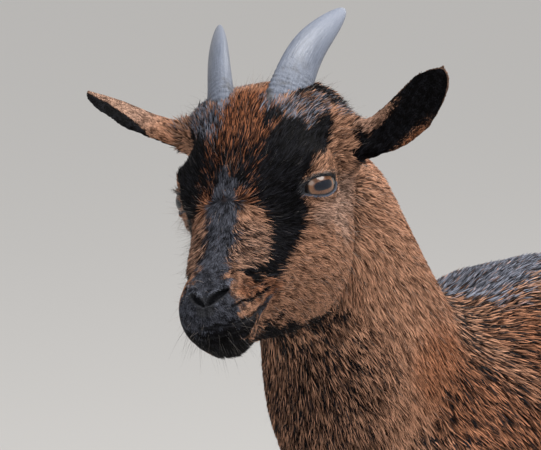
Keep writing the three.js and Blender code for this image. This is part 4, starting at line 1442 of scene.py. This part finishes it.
# %% Tufts
def tuft_mesh(name, count, density, length, width, rise, spread=0.11):
    """One coat piece: count tufts over the skin where density is above zero.

    length, width and rise are in mm at each skin point: rise is how far the tip stands off.
    """
    chosen, share = scatter(density, count)
    corners, loops = triangle_points[chosen], triangle_loops[chosen]
    root = at_roots(skin_points, corners, share)
    normal = unit(at_roots(skin_normals, corners, share))
    part = skin_part[corners[:, 0]]
    way = combed(root, normal, part)
    side = np.cross(normal, way)
    sway = (wavy(root, 0.011, 5) - 0.5) * 2.5 * spread + chance.normal(0, spread, count)
    way = unit(way + side * sway[:, None])
    level = unit(np.cross(normal, way))
    roll = chance.normal(0, 0.3, count)[:, None]
    side = unit(level + normal * roll)
    size = chance.uniform(0.7, 1.2, count)
    long = at_roots(length, corners, share) * size * MM
    wide = at_roots(width, corners, share) * chance.uniform(0.75, 1.25, count) * MM / 2
    tall = at_roots(rise, corners, share) * chance.uniform(0.55, 1.15, count) * MM
    bend = level * chance.normal(0, 0.07, (count, 1))  # level, so that few tufts turn inside out
    places, tips, across = [], [], []
    for t, hand, share_tall in TUFT_CORNERS:
        middle = root + (way * t + bend * t * t) * long[:, None] + normal * (tall * share_tall)[:, None]
        places.append(middle + side * (hand * wide)[:, None])
        tips.append(t)
        across.append(hand)
    faces = repeated(TUFT_FACES, count, len(TUFT_CORNERS))
    mesh = triangle_mesh(name, np.stack(places, 1).reshape(-1, 3), faces)
    mesh.shade_flat()
    colour_tufts(mesh, root, root + way * (0.5 * long)[:, None], normal, part)
    set_values(mesh, "tip", np.tile(tips, count))
    set_values(mesh, "across", np.tile(across, count))
    corner = np.column_stack([0.5 * np.array(across), np.array(tips) - 0.5]) * PATCH
    set_patches(mesh, at_roots(corner_uv, loops, share), corner, faces)
    return mesh


TUFTS = {"head": 46500, "neck": 43500, "trunk": 33000, "legs": 34000, "ears": 27000, "tail": 8000}
print("tufts in each piece:", TUFTS)

# %% Coat pieces
coat_material = coat_finish("coat_tufts", 0.55)[0]


def add_coat(name, slot, *args, **settings):
    mesh = tuft_mesh(name, *args, **settings)
    mesh.materials.append(coat_material)
    piece = new_piece(name, mesh)
    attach(piece, "root")
    print(name, len(mesh.polygons), "triangles")


print("coat material:", coat_material.name)

# %% Coat of the head
bald = fade(1.8, 1.0, eye_gap) + fade(2.0, 1.3, nostril_gap) + fade(1.7, 0.9, mouth_gap) + nose_pad
haired = np.clip(1 - bald, 0, 1)
bridge = strokes(skin_folded, [[(3, -34, 15, 8), (3, -50, 0, 9), (2, -70, -15, 10)]], 0.8)
fine = [fade(46, 24, muzzle_gap), fade(9, 1, eye_gap), 0.7 * bridge, fade(14, 5, mouth_gap)]
fine = np.maximum.reduce(fine)
beard = on_head_part * fade(-58, -72, skin_head[:, 2]) * fade(-20, -50, skin_head[:, 1])
fine *= 1 - beard  # 1 where the coat is shortest
crown = fade(30, 48, skin_head[:, 1]) * fade(20, 36, skin_head[:, 2])
length = 8.6 - 7.0 * fine + 4 * crown + 4 * beard
width = 0.52 - 0.14 * fine
rise = 1.8 - 1.5 * fine + 3 * crown + 2.5 * beard
face = on_head_part * haired * (1 + 2.0 * fine)
for half in ("a", "b"):
    add_coat(f"coat_head_{half}", "head_coat", TUFTS["head"], face, length, width, rise)

# %% Coat of the body
ones = np.ones(len(skin_points))
far = fade(-0.02, 0.12, skin_points[:, 1])  # 1 on the hindquarters
high = fade(0.12, 0.26, skin_points[:, 2])
ear_out = fade(62, 80, np.abs(skin_head[:, 0]))
for half in ("a", "b"):
    where = on_parts("neck")
    add_coat(f"coat_neck_{half}", "body_coat", TUFTS["neck"], where, 14 * ones, 1.0 * ones, 3.4 * ones)
near_trunk = on_parts("trunk") * (1 + 2.2 * (1 - far))
length, width = 13 + 6 * far, 1.25 + 0.8 * far
for third in ("a", "b", "c"):
    add_coat(f"coat_trunk_{third}", "body_coat", TUFTS["trunk"], near_trunk, length, width, 3.4 * ones)
length, width, rise = 7 + 9 * high, 1.5 + 1.1 * high, 1.0 + 2.8 * high
add_coat("coat_legs", "dark_coat", TUFTS["legs"], on_parts("leg"), length, width, rise)
ear_end = fade(96, 108, np.abs(skin_head[:, 0]))
length, width, rise = 5.5 - 3.2 * ear_out - 1.3 * ear_end, 0.85 - 0.2 * ear_out, 1.1 - 0.95 * ear_out
add_coat("coat_ears", "ear_coat", TUFTS["ears"], on_parts("ear"), length, width, rise, spread=0.08)
add_coat("coat_tail", "dark_coat", TUFTS["tail"], on_parts("tail"), 15 * ones, 1.7 * ones, 3 * ones)

# %% [markdown]
# ## Long hairs
#
# Single hairs stand clear of the coat: whiskers on lips and chin, lashes, a pale fringe along
# the upper lid and wisps over cheeks, crown, neck and back. Flat ribbons would vanish when seen
# edge on, so each hair is a thin three-sided tapering tube with closed ends.

# %% Strands
STRAND_ROWS = 4
strand_parts = []


def strands(where, count, length, rise, width, droop, tone):
    """Hairs over the skin where a per-point density is above zero. Lengths and widths in mm."""
    chosen, share = scatter(where, count)
    corners = triangle_points[chosen]
    root = at_roots(skin_points, corners, share)
    normal = unit(at_roots(skin_normals, corners, share))
    way = combed(root, normal, skin_part[corners[:, 0]])
    out = unit(way * (1 - rise) + normal * rise + chance.normal(0, 0.13, (count, 3)))
    side = unit(np.cross(out, normal + 0.01))
    lift = np.cross(side, out)
    long = length * chance.uniform(0.55, 1.15, count) * MM
    curl = chance.normal(0, 0.12, (count, 1)) * side
    curl -= droop * np.array([0, 0, 1.0]) * chance.random((count, 1))
    rows = np.linspace(0, 1, STRAND_ROWS)
    rings = []
    for t in rows:
        middle = root + (out * t + curl * t * t) * long[:, None]
        radius = width * MM / 2 * (1 - 0.92 * t)
        for k in range(3):
            turn = 2 * math.pi * k / 3
            rings.append(middle + (side * math.cos(turn) + lift * math.sin(turn)) * radius)
    points = np.stack(rings, 1)
    patch = at_roots(corner_uv, triangle_loops[chosen], share)
    dark = at_roots(skin_amount["black"], corners, share)
    tones = tone * (1 - 0.85 * dark) + chance.normal(0, 0.12, count)
    strand_parts.append((points.reshape(-1, 3), tones, patch))


def build_strands(name):
    end = 3 * (STRAND_ROWS - 1)
    tube = [(0, 1, 2), (end, end + 2, end + 1)]  # both ends are closed
    for r in range(STRAND_ROWS - 1):
        for k in range(3):
            a, b = 3 * r + k, 3 * r + (k + 1) % 3
            tube += [(a, b + 3, b), (a, a + 3, b + 3)]
    each = 3 * STRAND_ROWS
    points, tones, patches = (np.concatenate(values) for values in zip(*strand_parts))
    faces = repeated(tube, len(tones), each)
    mesh = triangle_mesh(name, points, faces)
    set_values(mesh, "tone", np.repeat(np.clip(tones, 0, 1), each))
    ups = [r / (STRAND_ROWS - 1) - 0.5 for r in range(STRAND_ROWS)]
    corner = np.array([(k / 2 - 0.5, up) for up in ups for k in range(3)]) * PATCH
    set_patches(mesh, patches, corner, faces)
    mesh.shade_smooth()
    return mesh


print("rings in a hair:", STRAND_ROWS)

# %% Where single hairs grow
low_face = fade(-42, -52, skin_head[:, 2])
chin_gap = reach(skin_folded, (8, -90, -58))
haired_head = on_head_part * haired
whiskers = haired_head * fade(30, 12, chin_gap) * low_face
muzzle = haired_head * fade(34, 20, muzzle_gap)
far_cheek = on_head_part * fade(-18, -30, skin_head[:, 0]) * fade(20, -10, skin_head[:, 1])
far_cheek *= fade(12, 0, skin_head[:, 2])
back = on_parts("trunk") * fade(0.40, 0.43, skin_points[:, 2])
low_cheek = on_head_part * fade(-10, -60, skin_head[:, 2]) * (1 - fine)
upper = on_head_part * fade(0.5, 0.9, over_lid) * fade(2.4, 1.6, over_lid)
lid_fringe = upper * fade(5, 2, along_lid)
lashes = upper * fade(-9, -3, along_lid) * fade(16, 11, along_lid)
print("skin points that may grow whiskers:", int((whiskers > 0).sum()))

# %% Whiskers, wisps and lashes
SINGLE_HAIRS = [  # where, how many, length and rise, width, droop, tone from dark to pale
    (whiskers, 50, 17, 0.6, 0.14, 0.3, 0.25),
    (muzzle, 80, 6, 0.7, 0.13, 0.15, 0.5),
    (far_cheek, 420, 13, 0.5, 0.18, 0.1, 0.9),
    (haired_head * (1 - fine), 900, 10, 0.2, 0.14, 0.05, 0.6),
    (crown * on_parts("head"), 600, 17, 0.45, 0.18, 0.1, 0.35),
    (on_parts("neck"), 1500, 12, 0.34, 0.15, 0.1, 0.6),
    (back, 700, 13, 0.34, 0.16, 0.1, 0.6),
    (low_cheek, 500, 9, 0.4, 0.13, 0.1, 0.55),
    (lid_fringe, 90, 3.5, 0.25, 0.16, 0.0, 1.0),
    (lashes, 120, 5.5, 0.5, 0.17, 0.15, 0.05),
]
for hairs in SINGLE_HAIRS:
    strands(*hairs)
strand_mesh = build_strands("long_hairs")

strand_finish, recipe, shader = material("single_hairs")
tone = recipe.mix(recipe.attribute("tone"), rgb(0.02, 0.018, 0.018), rgb(0.62, 0.52, 0.46))
recipe.feed(shader.inputs["Base Color"], tone)
shader.inputs["Roughness"].default_value = 0.45
strand_mesh.materials.append(strand_finish)
piece = new_piece("long_hairs", strand_mesh)
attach(piece, "root")
print("single hairs:", len(strand_mesh.vertices) // (3 * STRAND_ROWS))

low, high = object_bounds()
